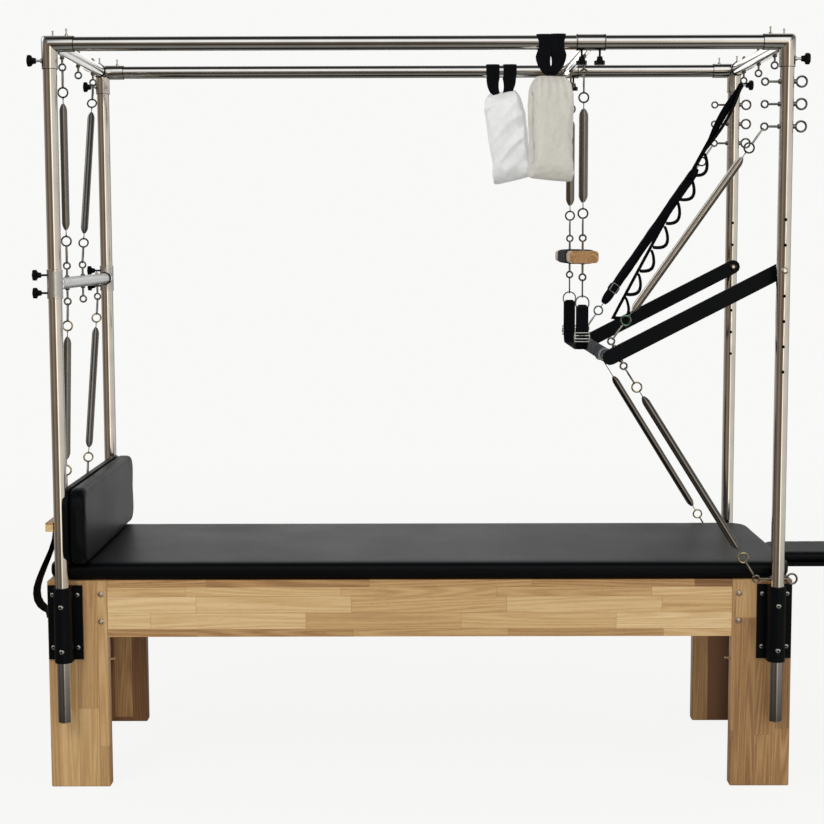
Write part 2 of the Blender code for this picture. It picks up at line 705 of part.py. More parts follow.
def build_brackets(parent):
    """Painted plates with a half-round sleeve, screwed to the legs round each post."""
    outer = TUBE_RADIUS + BRACKET_WALL
    bottom = BRACKET_TOP - BRACKET_HEIGHT
    low = bottom + BRACKET_SCREW_LOW
    for side, face, place in corners():
        bracket = Piece("post_bracket_" + place, BLACK_PAINT, parent)
        axis = Vector((side * TOP_X, face * POST_Y, 0.0))
        back = face * (BED_WIDTH / 2 + FIT)
        front = back + face * BRACKET_PLATE
        near, far = axis.x - BRACKET_HALF_WIDTH, axis.x + BRACKET_HALF_WIDTH
        outline = [(near, front), (near, back), (far, back), (far, front), (axis.x + outer, front)]
        outline += arc((axis.x, axis.y), outer, 0, face * 180, 8)
        outline += [(axis.x - outer, front)]
        slab(bracket.body, outline, Z, bottom, BRACKET_TOP)
        rod(bracket.cuts, axis + Z * (bottom - outer), axis + Z * (BRACKET_TOP + outer), TUBE_RADIUS + FIT)
        for height in (BRACKET_TOP - BRACKET_SCREW_HIGH, low):
            for shift in (-BRACKET_SCREW_SIDE, BRACKET_SCREW_SIDE):
                dome(bracket.extra, Vector((axis.x + shift, front, height)), Y * face, SCREW_HEAD)
        for height in (BRACKET_TOP - SLEEVE_SCREW_HIGH, low):
            dome(bracket.extra, axis + Y * face * outer + Z * height, Y * face, SCREW_HEAD)
        bracket.finish()


# Springs

def add_snap(bm, hold, along):
    """A snap hook round the wire at hold; returns the middle of its other end."""
    face = (Y - along * along.dot(Y)).normalized()
    snap = hold + along * (SNAP_HALF - touch(EYE_WIRE, SNAP_WIRE))
    link(bm, snap, along, along.cross(face), SNAP_HALF, SNAP_BEND, SNAP_WIRE)
    return snap + along * SNAP_HALF


def build_spring(name, material, radius, start, end, parent):
    """A close-coiled spring between two eyes, drawn with its rings and hooks as one slim neck."""
    spring = Piece(name, material, parent)
    run = end - start
    pull = (run - Y * run.dot(Y)).normalized() * EYE_RADIUS
    along = (run - 2 * pull).normalized()
    near = add_snap(spring.extra, start + pull, along)
    far = add_snap(spring.extra, end - pull, -along)
    length = (far - near).length
    half = [(0.0, RING_NECK), (RING_RUN, RING_NECK), (RING_RUN + SPRING_TAPER / 2, radius * 0.75),
            (RING_RUN + SPRING_TAPER, radius)]
    profile = half + [(length - reach, size) for reach, size in reversed(half)]
    turned(spring.body, near, along, profile, 8)
    spring.finish()


def arm_direction():
    return Vector((TOP_X - ARM_END_X, 0.0, PIVOT_Z - ARM_END_Z)).normalized()


def arm_eye(face, above):
    """The middle of the eye above or below the free end of a push bar arm."""
    along = arm_direction()
    upward = Vector((-along.z, 0.0, along.x))
    root = Vector((ARM_END_X, face * ARM_Y, ARM_END_Z)) + along * ARM_EYE_ALONG
    return root + upward * above * (ARM_HALF_WIDTH + ARM_EYE_CLEARANCE)


def build_left_springs(parent):
    """Springs from the left end tube to the bar across the posts, and from there to the back board."""
    top_z = FRAME_TOP - EYE_DROP
    mid_z = MID_BAR_HEIGHT + MID_EYE_RISE
    low_z = MID_BAR_HEIGHT - MID_EYE_DROP
    foot_x = BACK_FACE_X - BACK_EYE_GAP
    for name, top_y, low_y, foot_y in (("front", -EYE_PITCH, -EYE_PITCH, BACK_EYE_YS[0]),
                                       ("rear", EYE_PITCH, 0.0, BACK_EYE_YS[1])):
        build_spring("upper_left_spring_" + name, SPRING_STEEL, SPRING_RADIUS,
                     Vector((-TOP_X, top_y, top_z)), Vector((-TOP_X, low_y, mid_z)), parent)
        build_spring("lower_left_spring_" + name, SPRING_STEEL, SPRING_RADIUS,
                     Vector((-TOP_X, top_y, low_z)), Vector((foot_x, foot_y, BACK_EYE_Z)), parent)


def build_push_springs(parent):
    """Springs above and below each arm of the push-through bar; one is in a fabric sleeve."""
    post_x = TOP_X - POST_EYE_INWARD
    for face, name, material in ((FRONT, "front", SPRING_STEEL), (REAR, "rear", BLACK_WEBBING)):
        build_spring("upper_push_spring_" + name, material, SPRING_RADIUS,
                     Vector((post_x, face * POST_Y, POST_EYE_HEIGHTS[0])), arm_eye(face, 1), parent)
        build_spring("lower_push_spring_" + name, SPRING_STEEL, SPRING_RADIUS,
                     arm_eye(face, -1), Vector((post_x, face * POST_Y, BASE_EYE_HEIGHT)), parent)


# Sliding cross bars

def build_cross_bar(name, middle, sleeve_axis, knob_axis, parent):
    """A cross tube between two sleeve clamps, each with two star knobs; the bar still lacks its eyes."""
    bar = Piece(name, STEEL, parent)
    half = CLAMP_LENGTH / 2
    reach = Y * (POST_Y - TUBE_RADIUS)
    rod(bar.body, middle - reach, middle + reach, CROSS_RADIUS)
    for face, place in ((FRONT, "front"), (REAR, "rear")):
        seat = middle + Y * face * POST_Y
        rod(bar.extra, seat - sleeve_axis * half, seat + sleeve_axis * half, SLEEVE_RADIUS)
        rod(bar.extra, seat, seat - Y * face * CLAMP_STUB, CROSS_RADIUS + SLEEVE_WALL)
        rod(bar.cuts, seat - sleeve_axis * half * 1.2, seat + sleeve_axis * half * 1.2, TUBE_RADIUS + FIT)
        for shift, mark in ((-CLAMP_KNOB_OFFSET, "a"), (CLAMP_KNOB_OFFSET, "b")):
            spot = seat + sleeve_axis * shift
            pin(bar.cuts, spot + knob_axis * SLEEVE_RADIUS, knob_axis, SHANK_HOLE, SLEEVE_RADIUS / 2)
            bm = bmesh.new()
            add_knob(bm, spot, knob_axis)
            knob_name = name + "_knob_" + place + "_" + mark
            publish(knob_name, bm, BLACK_PLASTIC, pivot(knob_name + "_axis", spot, parent))
    return bar


def build_mid_bar(parent):
    """The height-adjustable bar across the left posts, with three eyebolts."""
    middle = Vector((-TOP_X, 0.0, MID_BAR_HEIGHT))
    bar = build_cross_bar("mid_bar", middle, Z, -X, parent)
    for place, rise in ((-EYE_PITCH, MID_EYE_RISE), (0.0, MID_EYE_RISE), (EYE_PITCH, 0.0)):
        add_hanging_eye(bar, middle + Y * place, MID_EYE_DROP, rise, CROSS_RADIUS)
    bar.finish()


def build_slide_bar(parent):
    """The bar that slides along the long top tubes and carries the trapeze."""
    middle = Vector((SLIDE_BAR_X, 0.0, FRAME_TOP))
    bar = build_cross_bar("slide_bar", middle, X, -Z, parent)
    for place in (-TRAPEZE_SPACING / 2, TRAPEZE_SPACING / 2):
        add_hanging_eye(bar, middle + Y * place, SLIDE_EYE_DROP, 0.0, CROSS_RADIUS)
    bar.finish()


# Trapeze and sling

def trapeze_outline(extra):
    wide, high = TRAPEZE_BAR_WIDTH / 2 + extra, TRAPEZE_BAR_THICKNESS / 2 + extra
    return rounded(SLIDE_BAR_X - wide, TRAPEZE_BAR_Z - high, SLIDE_BAR_X + wide, TRAPEZE_BAR_Z + high,
                   TRAPEZE_BAR_CORNER + extra, 3)


def build_trapeze(parent):
    """A flat wooden bar on two springs, with a foam grip round its middle."""
    bar = Piece("trapeze_bar", PALE_WOOD, parent)
    slab(bar.body, trapeze_outline(0.0), Y, -TRAPEZE_BAR_LENGTH / 2, TRAPEZE_BAR_LENGTH / 2)
    drop, rise = TRAPEZE_BAR_Z - TRAPEZE_EYE_LOW, TRAPEZE_EYE_TOP - TRAPEZE_BAR_Z
    for name, side in (("front", FRONT), ("rear", REAR)):
        place = Vector((SLIDE_BAR_X, side * TRAPEZE_SPACING / 2, 0.0))
        top = place + Z * (FRAME_TOP - SLIDE_EYE_DROP)
        build_spring("trapeze_spring_" + name, SPRING_STEEL, TRAPEZE_SPRING_RADIUS,
                     top, place + Z * TRAPEZE_EYE_TOP, parent)
        add_hanging_eye(bar, place + Z * TRAPEZE_BAR_Z, drop, rise, TRAPEZE_BAR_THICKNESS / 2)
    bar.finish()
    grip = Piece("trapeze_grip", FOAM, parent)
    slab(grip.body, trapeze_outline(TRAPEZE_GRIP_WALL), Y, -TRAPEZE_GRIP_LENGTH / 2, TRAPEZE_GRIP_LENGTH / 2)
    slab(grip.cuts, trapeze_outline(FIT), Y, -TRAPEZE_GRIP_LENGTH, TRAPEZE_GRIP_LENGTH)
    grip.finish()


def build_sling(parent):
    """A webbing sling under the trapeze bar, on snap hooks, D-rings and flat sliders."""
    sling = Piece("sling", BLACK_WEBBING, parent)
    half_span = TRAPEZE_SPACING / 2
    snap_top = TRAPEZE_EYE_LOW - EYE_RADIUS + touch(EYE_WIRE, SNAP_WIRE)
    ring_z = snap_top - 2 * SNAP_HALF - DRING_RADIUS + SNAP_WIRE
    bar_z = ring_z - DRING_DROP
    outline = arc((0.0, ring_z), DRING_RADIUS, 0, 180, 4) + [(-DRING_RADIUS, bar_z), (DRING_RADIUS, bar_z)]
    for side in (-1, 1):
        place = Vector((SLIDE_BAR_X, side * half_span, 0.0))
        link(sling.extra, place + Z * (snap_top - SNAP_HALF), -Z, X, SNAP_HALF, SNAP_BEND, SNAP_WIRE)
        wire(sling.extra, [place + X * a + Z * b for a, b in outline], Y, DRING_WIRE)
    low = SLING_BOTTOM + SLING_THICKNESS / 2
    bend = arc((half_span - SLING_BEND, low + SLING_BEND), SLING_BEND, 0, -90, 5)
    path = [(half_span, bar_z)] + bend + [(-a, b) for a, b in reversed(bend)] + [(-half_span, bar_z)]
    points = [Vector((SLIDE_BAR_X, a, b)) for a, b in path]
    ribbon(sling.body, points, X, SLING_THICKNESS, -SLING_WIDTH / 2, SLING_WIDTH / 2)
    sling.finish()


# Push-through bar

def build_push_bar(parent):
    """Two flat arms joined by a cross tube with collars, four eyes and a foam grip."""
    along = arm_direction()
    upward = Vector((-along.z, 0.0, along.x))
    far = Vector((TOP_X, 0.0, PIVOT_Z))
    near = Vector((ARM_END_X, 0.0, ARM_END_Z))
    tilt = math.degrees(math.atan2(along.z, along.x))
    outline = arc((far.x, far.z), ARM_HALF_WIDTH, tilt - 90, tilt + 90, 6)
    outline += arc((near.x, near.z), ARM_HALF_WIDTH, tilt + 90, tilt + 270, 6)
    frame = Piece("push_bar_frame", BLACK_PAINT, parent)
    collar = GRIP_HALF_LENGTH + FIT
    profile = [(-ARM_Y, PUSH_TUBE_RADIUS), (-collar - COLLAR_WIDTH, PUSH_TUBE_RADIUS),
               (-collar - COLLAR_WIDTH, GRIP_RADIUS), (-collar, GRIP_RADIUS), (-collar, PUSH_TUBE_RADIUS)]
    profile += [(-place, radius) for place, radius in reversed(profile)]
    turned(frame.body, near, Y, profile)
    half = ARM_THICKNESS / 2
    for face in (FRONT, REAR):
        slab(frame.extra, outline, Y, face * ARM_Y - half, face * ARM_Y + half)
        pin(frame.cuts, far + Y * face * ARM_Y, Y, HOLE_RADIUS, ARM_THICKNESS)
        for above in (-1, 1):
            eye = arm_eye(face, above)
            rod(frame.extra, eye - upward * above * (ARM_EYE_CLEARANCE + SHANK_RADIUS),
                eye - upward * above * EYE_RADIUS, SHANK_RADIUS, 6)
            frame.eye(eye, upward * above)
    frame.finish()
    grip = Piece("push_bar_grip", FOAM, parent)
    pin(grip.body, near, Y, GRIP_RADIUS, GRIP_HALF_LENGTH, TUBE_SIDES)
    pin(grip.cuts, near, Y, PUSH_TUBE_RADIUS + FIT, GRIP_HALF_LENGTH * 1.2, TUBE_SIDES)
    grip.finish()


def build_safety_strap(parent):
    """A webbing strap with a row of sewn loops, from an eye of the right end tube to the rear arm."""
    strap = Piece("safety_strap", BLACK_WEBBING, parent)
    eye = Vector((TOP_X, SAFETY_EYE_Y, FRAME_TOP - EYE_DROP))
    along = arm_direction()
    upward = Vector((-along.z, 0.0, along.x))
    arm = Vector((ARM_END_X, ARM_Y, ARM_END_Z)) + along * SAFETY_ARM_ALONG
    end = arm + upward * (ARM_HALF_WIDTH + FIT + 1.3 * SAFETY_THICKNESS)
    run = (end - eye).normalized()
    start = eye + run * (EYE_RADIUS + EYE_WIRE + SAFETY_THICKNESS / 2 + FIT)
    normal = (Y - run * run.dot(Y)).normalized()
    side = normal.cross(run)
    if side.x < 0:
        side = -side
    length = (end - start).length
    ribbon(strap.body, [start, end], normal, SAFETY_THICKNESS, -SAFETY_WIDTH / 2, SAFETY_WIDTH / 2)
    first = length * SAFETY_PLAIN_SHARE
    pitch = (length - first) / SAFETY_LOOPS
    for i in range(SAFETY_LOOPS):
        low = start + run * (first + pitch * (i + 0.04))
        path = []
        for j in range(SAFETY_LOOP_STEPS + 1):
            share = j / SAFETY_LOOP_STEPS
            bulge = side * SAFETY_LOOP_DEPTH * math.sin(math.pi * share)
            path.append(low + run * pitch * 0.88 * share + bulge)
        ribbon(strap.extra, path, normal, SAFETY_THICKNESS * 0.75, -SAFETY_WIDTH * 0.4, SAFETY_WIDTH * 0.4)
    strap.finish()


# Back pad and end strap

def build_back_pad(parent):
    """An upholstered board nested against the left posts, clamped by a wooden rail outside them."""
    low = MATTRESS_TOP + BACK_PAD_LIFT
    high = low + BACK_PAD_HEIGHT
    half_y = POST_Y + TUBE_RADIUS + BACK_PAD_OVERHANG
    front_x = BACK_FACE_X + BACK_BOARD
    outline = rounded(-half_y, low, half_y, high, BACK_PAD_CORNER)
    bm = bmesh.new()
    slab(bm, outline, X, front_x + FIT, front_x + FIT + BACK_PAD)
    soften(bm, PAD_EDGE, 2)
    publish("back_pad", bm, BLACK_LEATHER, parent)

    board = Piece("back_board", BLACK_PAINT, parent)
    slab(board.body, outline, X, BACK_FACE_X, front_x)
    rail_in = -(TOP_X + TUBE_RADIUS + FIT)
    rail_out = rail_in - CLAMP_RAIL_WIDTH
    bolt_end = BACK_FACE_X + BACK_BOARD * 0.6
    rail_low, rail_high = CLAMP_RAIL_Z - CLAMP_RAIL_HEIGHT / 2, CLAMP_RAIL_Z + CLAMP_RAIL_HEIGHT / 2
    rail_half = POST_Y + TUBE_RADIUS / 2
    rail = Piece("clamp_rail", WOOD, parent)
    slab(rail.body, rectangle(rail_out, rail_low, rail_in, rail_high), Y, -rail_half, rail_half)
    bolt = [(rail_out - HEAD_HEIGHT, BOLT_HEAD * 0.6), (rail_out + HEAD_HEIGHT / 2, BOLT_HEAD),
            (rail_out + HEAD_HEIGHT / 2, PIN_RADIUS), (bolt_end, PIN_RADIUS)]
    for face in (FRONT, REAR):
        axis = Vector((-TOP_X, face * POST_Y, 0.0))
        rod(board.cuts, axis + Z * low * 0.9, axis + Z * high * 1.1, TUBE_RADIUS + FIT)
        spot = Vector((0.0, face * CLAMP_BOLT_Y, CLAMP_RAIL_Z))
        turned(rail.extra, spot, X, bolt, 8)
        rod(board.cuts, spot + X * (BACK_FACE_X - PIN_RADIUS), spot + X * (bolt_end + FIT), HOLE_RADIUS, 8)
    for place in BACK_EYE_YS:
        middle = Vector((BACK_FACE_X - BACK_EYE_GAP, place, BACK_EYE_Z))
        root = middle + X * (BACK_EYE_GAP + SHANK_RADIUS)
        rod(board.extra, middle + X * EYE_RADIUS, root, SHANK_RADIUS, 6)
        board.eye(middle, X)
    board.finish()
    rail.finish()


def build_end_strap(parent):
    """A webbing loop that bows out from the clamp rail to the leg's outer face."""
    rail_low = CLAMP_RAIL_Z - CLAMP_RAIL_HEIGHT / 2
    middle_x = -(TOP_X + TUBE_RADIUS + CLAMP_RAIL_WIDTH / 2)
    foot_x = -(BED_LENGTH / 2 + FIT + STRAP_THICKNESS / 2)
    bulge = -(STRAP_REACH - STRAP_THICKNESS / 2)
    foot_top = STRAP_FOOT_Z + STRAP_FOOT
    bow = arc((bulge + STRAP_TURN, foot_top + 2 * STRAP_TURN), STRAP_TURN, 180, 245, 3)
    path = [(middle_x, rail_low - FIT), (middle_x, rail_low - STRAP_TURN)] + bow
    path += [(foot_x, foot_top), (foot_x, STRAP_FOOT_Z)]
    bm = bmesh.new()
    half = STRAP_WIDTH / 2
    ribbon(bm, [Vector((a, 0.0, b)) for a, b in path], Y, STRAP_THICKNESS, -STRAP_Y - half, -STRAP_Y + half)
    publish("end_strap", bm, BLACK_WEBBING, parent)


# Hanging loops

def build_hanging_loop(name, face, middle_x, drop, parent):
    """A webbing hanger wrapped round a long tube, and a padded fleece loop below it."""
    half = HANGER_WIDTH / 2
    seat = Vector((middle_x, face * POST_Y, FRAME_TOP))
    hinge_z = FRAME_TOP - HANGER_HINGE_DROP
    tail = HANGER_TAIL / 2
    slide = pivot(name + "_slide", seat, parent)
    swing = pivot(name + "_swing", (seat.x, seat.y, hinge_z), slide)

    hanger = Piece(name + "_hanger", BLACK_WEBBING, slide)
    outer = TUBE_RADIUS + HANGER_WALL
    opening = math.degrees(math.asin(tail / outer))
    outline = arc((seat.y, seat.z), outer, -90 + opening, 270 - opening, 14)
    outline += [(seat.y - tail, hinge_z + tail + FIT), (seat.y + tail, hinge_z + tail + FIT)]
    slab(hanger.body, outline, X, middle_x - half, middle_x + half)
    rod(hanger.cuts, seat - X * HANGER_WIDTH, seat + X * HANGER_WIDTH, TUBE_RADIUS + FIT)
    hanger.finish()

    loop = Piece(name + "_fleece", FLEECE, swing)
    top = FRAME_TOP - drop
    low = top - LOOP_HEIGHT
    wide = LOOP_WIDTH / 2
    deep = LOOP_DEPTH / 2
    body = rounded(seat.y - deep, low, seat.y + deep, top, deep * 0.95, 4)
    slab(loop.body, body, X, middle_x - wide, middle_x + wide)
    root = top - LOOP_WALL_ENDS / 2
    strap = arc((seat.y, hinge_z), tail, 0, 180, 4) + [(seat.y - tail, root), (seat.y + tail, root)]
    slab(loop.extra, strap, X, middle_x - half * 0.6, middle_x + half * 0.6)
    gap = LOOP_OPENING / 2
    inside = rounded(seat.y - gap, low + LOOP_WALL_ENDS, seat.y + gap, top - LOOP_WALL_ENDS, gap * 0.95, 3)
    slab(loop.cuts, inside, X, middle_x - LOOP_WIDTH, middle_x + LOOP_WIDTH)
    loop.finish()


# Assembly

assembly = bpy.data.objects.new("assembly", None)
bpy.context.collection.objects.link(assembly)
assembly.location = (CENTRING_X, 0.0, 0.0)
assembly["true_place"] = [0.0, 0.0, 0.0]

mid_slide = pivot("mid_bar_slide", (-TOP_X, 0.0, MID_BAR_HEIGHT), assembly)
push_swing = pivot("push_bar_swing", (TOP_X, 0.0, PIVOT_Z), assembly)
bar_slide = pivot("slide_bar_slide", (SLIDE_BAR_X, 0.0, FRAME_TOP), assembly)
hook_depth = EYE_RADIUS - touch(EYE_WIRE, SNAP_WIRE)
trapeze_place = (SLIDE_BAR_X, 0.0, FRAME_TOP - SLIDE_EYE_DROP - hook_depth)
trapeze_swing = pivot("trapeze_swing", trapeze_place, bar_slide)
sling_swing = pivot("sling_swing", (SLIDE_BAR_X, 0.0, TRAPEZE_EYE_LOW - hook_depth), trapeze_swing)

for build in (build_legs, build_rail_frame, build_deck, build_mattress, build_extension, build_posts,
              build_top_tubes, build_corner_fittings, build_brackets, build_back_pad, build_end_strap,
              build_left_springs, build_push_springs, build_safety_strap):
    build(assembly)
build_mid_bar(mid_slide)
build_push_bar(push_swing)
build_slide_bar(bar_slide)
build_trapeze(trapeze_swing)
build_sling(sling_swing)
build_hanging_loop("front_loop", FRONT, FRONT_LOOP_X, FRONT_LOOP_DROP, assembly)
build_hanging_loop("rear_loop", REAR, REAR_LOOP_X, REAR_LOOP_DROP, assembly)
bpy.context.view_layer.update()
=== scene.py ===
import math
import bpy
import bmesh
from mathutils import Matrix, Vector, noise


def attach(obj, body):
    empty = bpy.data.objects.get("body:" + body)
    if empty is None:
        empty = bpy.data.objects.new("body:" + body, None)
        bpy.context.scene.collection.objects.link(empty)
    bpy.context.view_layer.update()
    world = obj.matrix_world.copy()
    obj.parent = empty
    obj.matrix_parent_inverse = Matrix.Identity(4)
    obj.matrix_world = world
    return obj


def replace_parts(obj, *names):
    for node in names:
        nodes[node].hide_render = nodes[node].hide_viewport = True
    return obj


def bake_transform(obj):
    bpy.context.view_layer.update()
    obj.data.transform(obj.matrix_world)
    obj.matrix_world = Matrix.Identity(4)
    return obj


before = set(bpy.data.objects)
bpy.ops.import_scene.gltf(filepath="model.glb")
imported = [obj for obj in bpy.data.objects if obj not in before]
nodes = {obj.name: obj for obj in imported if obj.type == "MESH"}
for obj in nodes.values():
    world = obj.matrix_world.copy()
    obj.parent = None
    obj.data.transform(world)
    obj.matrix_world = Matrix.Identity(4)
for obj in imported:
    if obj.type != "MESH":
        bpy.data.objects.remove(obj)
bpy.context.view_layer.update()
X, Y, Z = Vector((1, 0, 0)), Vector((0, 1, 0)), Vector((0, 0, 1))

# Studio: a white floor that runs into a white background, one broad soft lamp at the front left,
# a weaker one at the right, and the camera at a standing person's chest height, square to the bed.

CAMERA_PLACE = Vector((-0.13538, -4.91755, 1.5124))
CAMERA_PITCH, CAMERA_YAW, CAMERA_ROLL = 0.10036, -0.00347, -0.0027
LENS = 73.45
BACKGROUND = (0.945, 0.945, 0.935, 1.0)
FLOOR_COLOUR = (0.90, 0.90, 0.89, 1.0)
FLOOR_HALF = 30.0
FLOOR_WHITE_SHARE, WHITER_FROM, WHITE_FROM = 0.94, 1.6, 7.0
LIGHT_WORLD = 0.55
# name, place, aimed at, width, height, watts
LAMPS = [("key", (-2.8, -3.6, 3.9), (-0.1, 0.0, 0.9), 2.6, 2.2, 105.0),
         ("fill", (3.4, -3.2, 2.6), (0.1, 0.0, 1.0), 2.0, 2.0, 42.0)]


def feed(tree, node, inputs):
    """A node's inputs take plain values, or the sockets that feed them."""
    for key, value in inputs.items():
        if isinstance(value, bpy.types.NodeSocket):
            tree.links.new(value, node.inputs[key])
        else:
            node.inputs[key].default_value = value


def put(tree, kind, inputs, **settings):
    made = tree.nodes.new("ShaderNode" + kind)
    for key, value in settings.items():
        setattr(made, key, value)
    feed(tree, made, inputs)
    return made


def calc(tree, operation, first, second=0.0, third=0.0):
    """The socket of one sum."""
    return put(tree, "Math", {0: first, 1: second, 2: third}, operation=operation).outputs[0]


def times(tree, first, second):
    return calc(tree, "MULTIPLY", first, second)


def madd(tree, first, second, third):
    """The first times the second, plus the third."""
    return calc(tree, "MULTIPLY_ADD", first, second, third)


def tint(tree, share, first, second, blend="MIX"):
    return put(tree, "Mix", {0: share, 6: first, 7: second}, data_type="RGBA", blend_type=blend).outputs[2]


def ramp(tree, value, stops):
    """Colours along a value; each stop is a place and a grey level or a colour."""
    made = put(tree, "ValToRGB", {0: value})
    elements = made.color_ramp.elements
    elements.remove(elements[1])
    for i, (place, colour) in enumerate(stops):
        element = elements.new(place) if i else elements[0]
        element.position = place
        element.color = (*colour, 1.0) if isinstance(colour, tuple) else (colour, colour, colour, 1.0)
    return made.outputs[0]


def own_place(tree):
    return put(tree, "TexCoord", {}).outputs["Object"]


def new_object(name, mesh, material=None):
    made = bpy.data.objects.new(name, mesh)
    bpy.context.scene.collection.objects.link(made)
    if material:
        made.data.materials.clear()
        made.data.materials.append(material)
    return made


ahead = Vector((math.sin(CAMERA_YAW) * math.cos(CAMERA_PITCH),
                math.cos(CAMERA_YAW) * math.cos(CAMERA_PITCH), -math.sin(CAMERA_PITCH)))
level = Vector((math.cos(CAMERA_YAW), -math.sin(CAMERA_YAW), 0.0))
crown = level.cross(ahead)
sideways = level * math.cos(CAMERA_ROLL) + crown * math.sin(CAMERA_ROLL)
crown = crown * math.cos(CAMERA_ROLL) - level * math.sin(CAMERA_ROLL)
camera = bpy.data.objects.new("camera", bpy.data.cameras.new("camera"))
bpy.context.scene.collection.objects.link(camera)
camera.matrix_world = (Matrix.Translation(CAMERA_PLACE)
                       @ Matrix((sideways, crown, -ahead)).transposed().to_4x4())
camera.data.lens = LENS
camera.data.sensor_width = 36.0
camera.data.clip_end = 200.0
bpy.context.scene.camera = camera
bpy.context.scene.view_settings.view_transform = "Standard"

for lamp_name, place, target, width, height, watts in LAMPS:
    lamp = bpy.data.lights.new(lamp_name, "AREA")
    lamp.shape = "RECTANGLE"
    lamp.size, lamp.size_y, lamp.energy = width, height, watts
    holder = bpy.data.objects.new(lamp_name, lamp)
    bpy.context.scene.collection.objects.link(holder)
    holder.location = place
    holder.rotation_euler = (Vector(target) - Vector(place)).to_track_quat("-Z", "Y").to_euler()
    holder.visible_glossy = False

world = bpy.data.worlds.new("studio")
bpy.context.scene.world = world
world.use_nodes = True
sky = world.node_tree
sky.nodes.clear()
direction = put(sky, "SeparateXYZ", {0: put(sky, "TexCoord", {}).outputs["Generated"]}).outputs
azimuth = calc(sky, "ARCTAN2", direction[0], times(sky, direction[1], -1.0))
turn_share = madd(sky, azimuth, 0.5 / math.pi, 0.5)
height_share = madd(sky, direction[2], 0.5, 0.5)
walls = ramp(sky, turn_share,
             [(0.0, (1.50, 1.50, 1.48)), (0.04, (0.95, 0.94, 0.92)), (0.07, (0.42, 0.41, 0.40)),
              (0.12, (0.34, 0.33, 0.30)), (0.22, (0.20, 0.17, 0.13)), (0.30, (0.085, 0.065, 0.048)),
              (0.38, (0.24, 0.19, 0.14)), (0.46, (0.13, 0.10, 0.075)), (0.505, (0.11, 0.08, 0.06)),
              (0.527, (0.62, 0.54, 0.43)), (0.548, (1.55, 1.44, 1.26)), (0.575, (0.62, 0.57, 0.49)),
              (0.74, (0.52, 0.49, 0.44)), (0.82, (0.55, 0.53, 0.49)), (0.87, (0.15, 0.14, 0.12)),
              (0.93, (0.40, 0.40, 0.39)), (0.96, (0.55, 0.56, 0.56)), (0.985, (0.95, 0.95, 0.94)),
              (1.0, (1.50, 1.50, 1.48))])
at_walls = ramp(sky, height_share,
                [(0.0, 0.0), (0.36, 0.0), (0.42, 1.0), (0.585, 1.0), (0.63, 0.25), (0.66, 0.0)])
panel = ramp(sky, height_share,
             [(0.0, 0.0), (0.585, 0.0), (0.66, 0.95), (0.87, 1.0), (0.93, 0.12), (1.0, 0.03)])
panel_side = ramp(sky, turn_share,
                  [(0.0, 0.30), (0.16, 0.45), (0.215, 1.5), (0.255, 1.2), (0.30, 0.12), (0.43, 0.12),
                   (0.465, 0.88), (0.56, 0.95), (0.60, 0.30), (0.64, 0.10), (0.79, 0.10), (0.86, 0.7),
                   (1.0, 0.34)])
ground = ramp(sky, height_share,
              [(0.0, 0.035), (0.05, 0.22), (0.15, 0.15), (0.27, 0.035), (0.38, 0.02), (0.42, 0.0)])
room = tint(sky, 1.0, walls, at_walls, "MULTIPLY")
room = tint(sky, 1.0, room, tint(sky, 1.0, panel, panel_side, "MULTIPLY"), "ADD")
room = tint(sky, 1.0, room, tint(sky, 1.0, ground, (1.0, 0.95, 0.86, 1.0), "MULTIPLY"), "ADD")
mirrored = put(sky, "Background", {0: room, 1: 1.10}).outputs[0]
lighting = put(sky, "Background", {0: (1.0, 1.0, 1.0, 1.0), 1: LIGHT_WORLD}).outputs[0]
seen = put(sky, "Background", {0: BACKGROUND, 1: 1.0}).outputs[0]
path = put(sky, "LightPath", {}).outputs
unseen = put(sky, "MixShader", {0: path["Is Glossy Ray"], 1: lighting, 2: mirrored}).outputs[0]
final = put(sky, "MixShader", {0: path["Is Camera Ray"], 1: unseen, 2: seen}).outputs[0]
put(sky, "OutputWorld", {0: final})

floor_mesh = bpy.data.meshes.new("floor")
floor_mesh.from_pydata([(-FLOOR_HALF, -FLOOR_HALF, 0), (FLOOR_HALF, -FLOOR_HALF, 0),
                        (FLOOR_HALF, FLOOR_HALF, 0), (-FLOOR_HALF, FLOOR_HALF, 0)], [], [(0, 1, 2, 3)])
floor_paint = bpy.data.materials.new("floor_paint")
floor_paint.use_nodes = True
paint = floor_paint.node_tree
paint.nodes.clear()
lit = put(paint, "BsdfDiffuse", {0: FLOOR_COLOUR}).outputs[0]
white = put(paint, "Emission", {0: BACKGROUND, 1: 1.0}).outputs[0]
seen_by = put(paint, "LightPath", {}).outputs
away = put(paint, "VectorMath", {0: own_place(paint)}, operation="LENGTH").outputs["Value"]
far_share = put(paint, "MapRange", {"Value": away, "From Min": WHITER_FROM, "From Max": WHITE_FROM,
                                    "To Min": FLOOR_WHITE_SHARE, "To Max": 1.0},
                interpolation_type="SMOOTHSTEP").outputs[0]
share = times(paint, seen_by["Is Camera Ray"], far_share)
shown = put(paint, "MixShader", {0: share, 1: lit, 2: white}).outputs[0]
open_floor = put(paint, "BsdfTransparent", {}).outputs[0]
put(paint, "OutputMaterial", {0: put(paint, "MixShader", {0: seen_by["Is Glossy Ray"], 1: shown,
                                                          2: open_floor}).outputs[0]})
floor = new_object("floor", floor_mesh, floor_paint)

# Wooden base: legs, rails and deck of pale hardwood staves glued side by side and end to end,
# with a satin lacquer. The staves run up the legs and along the rails.

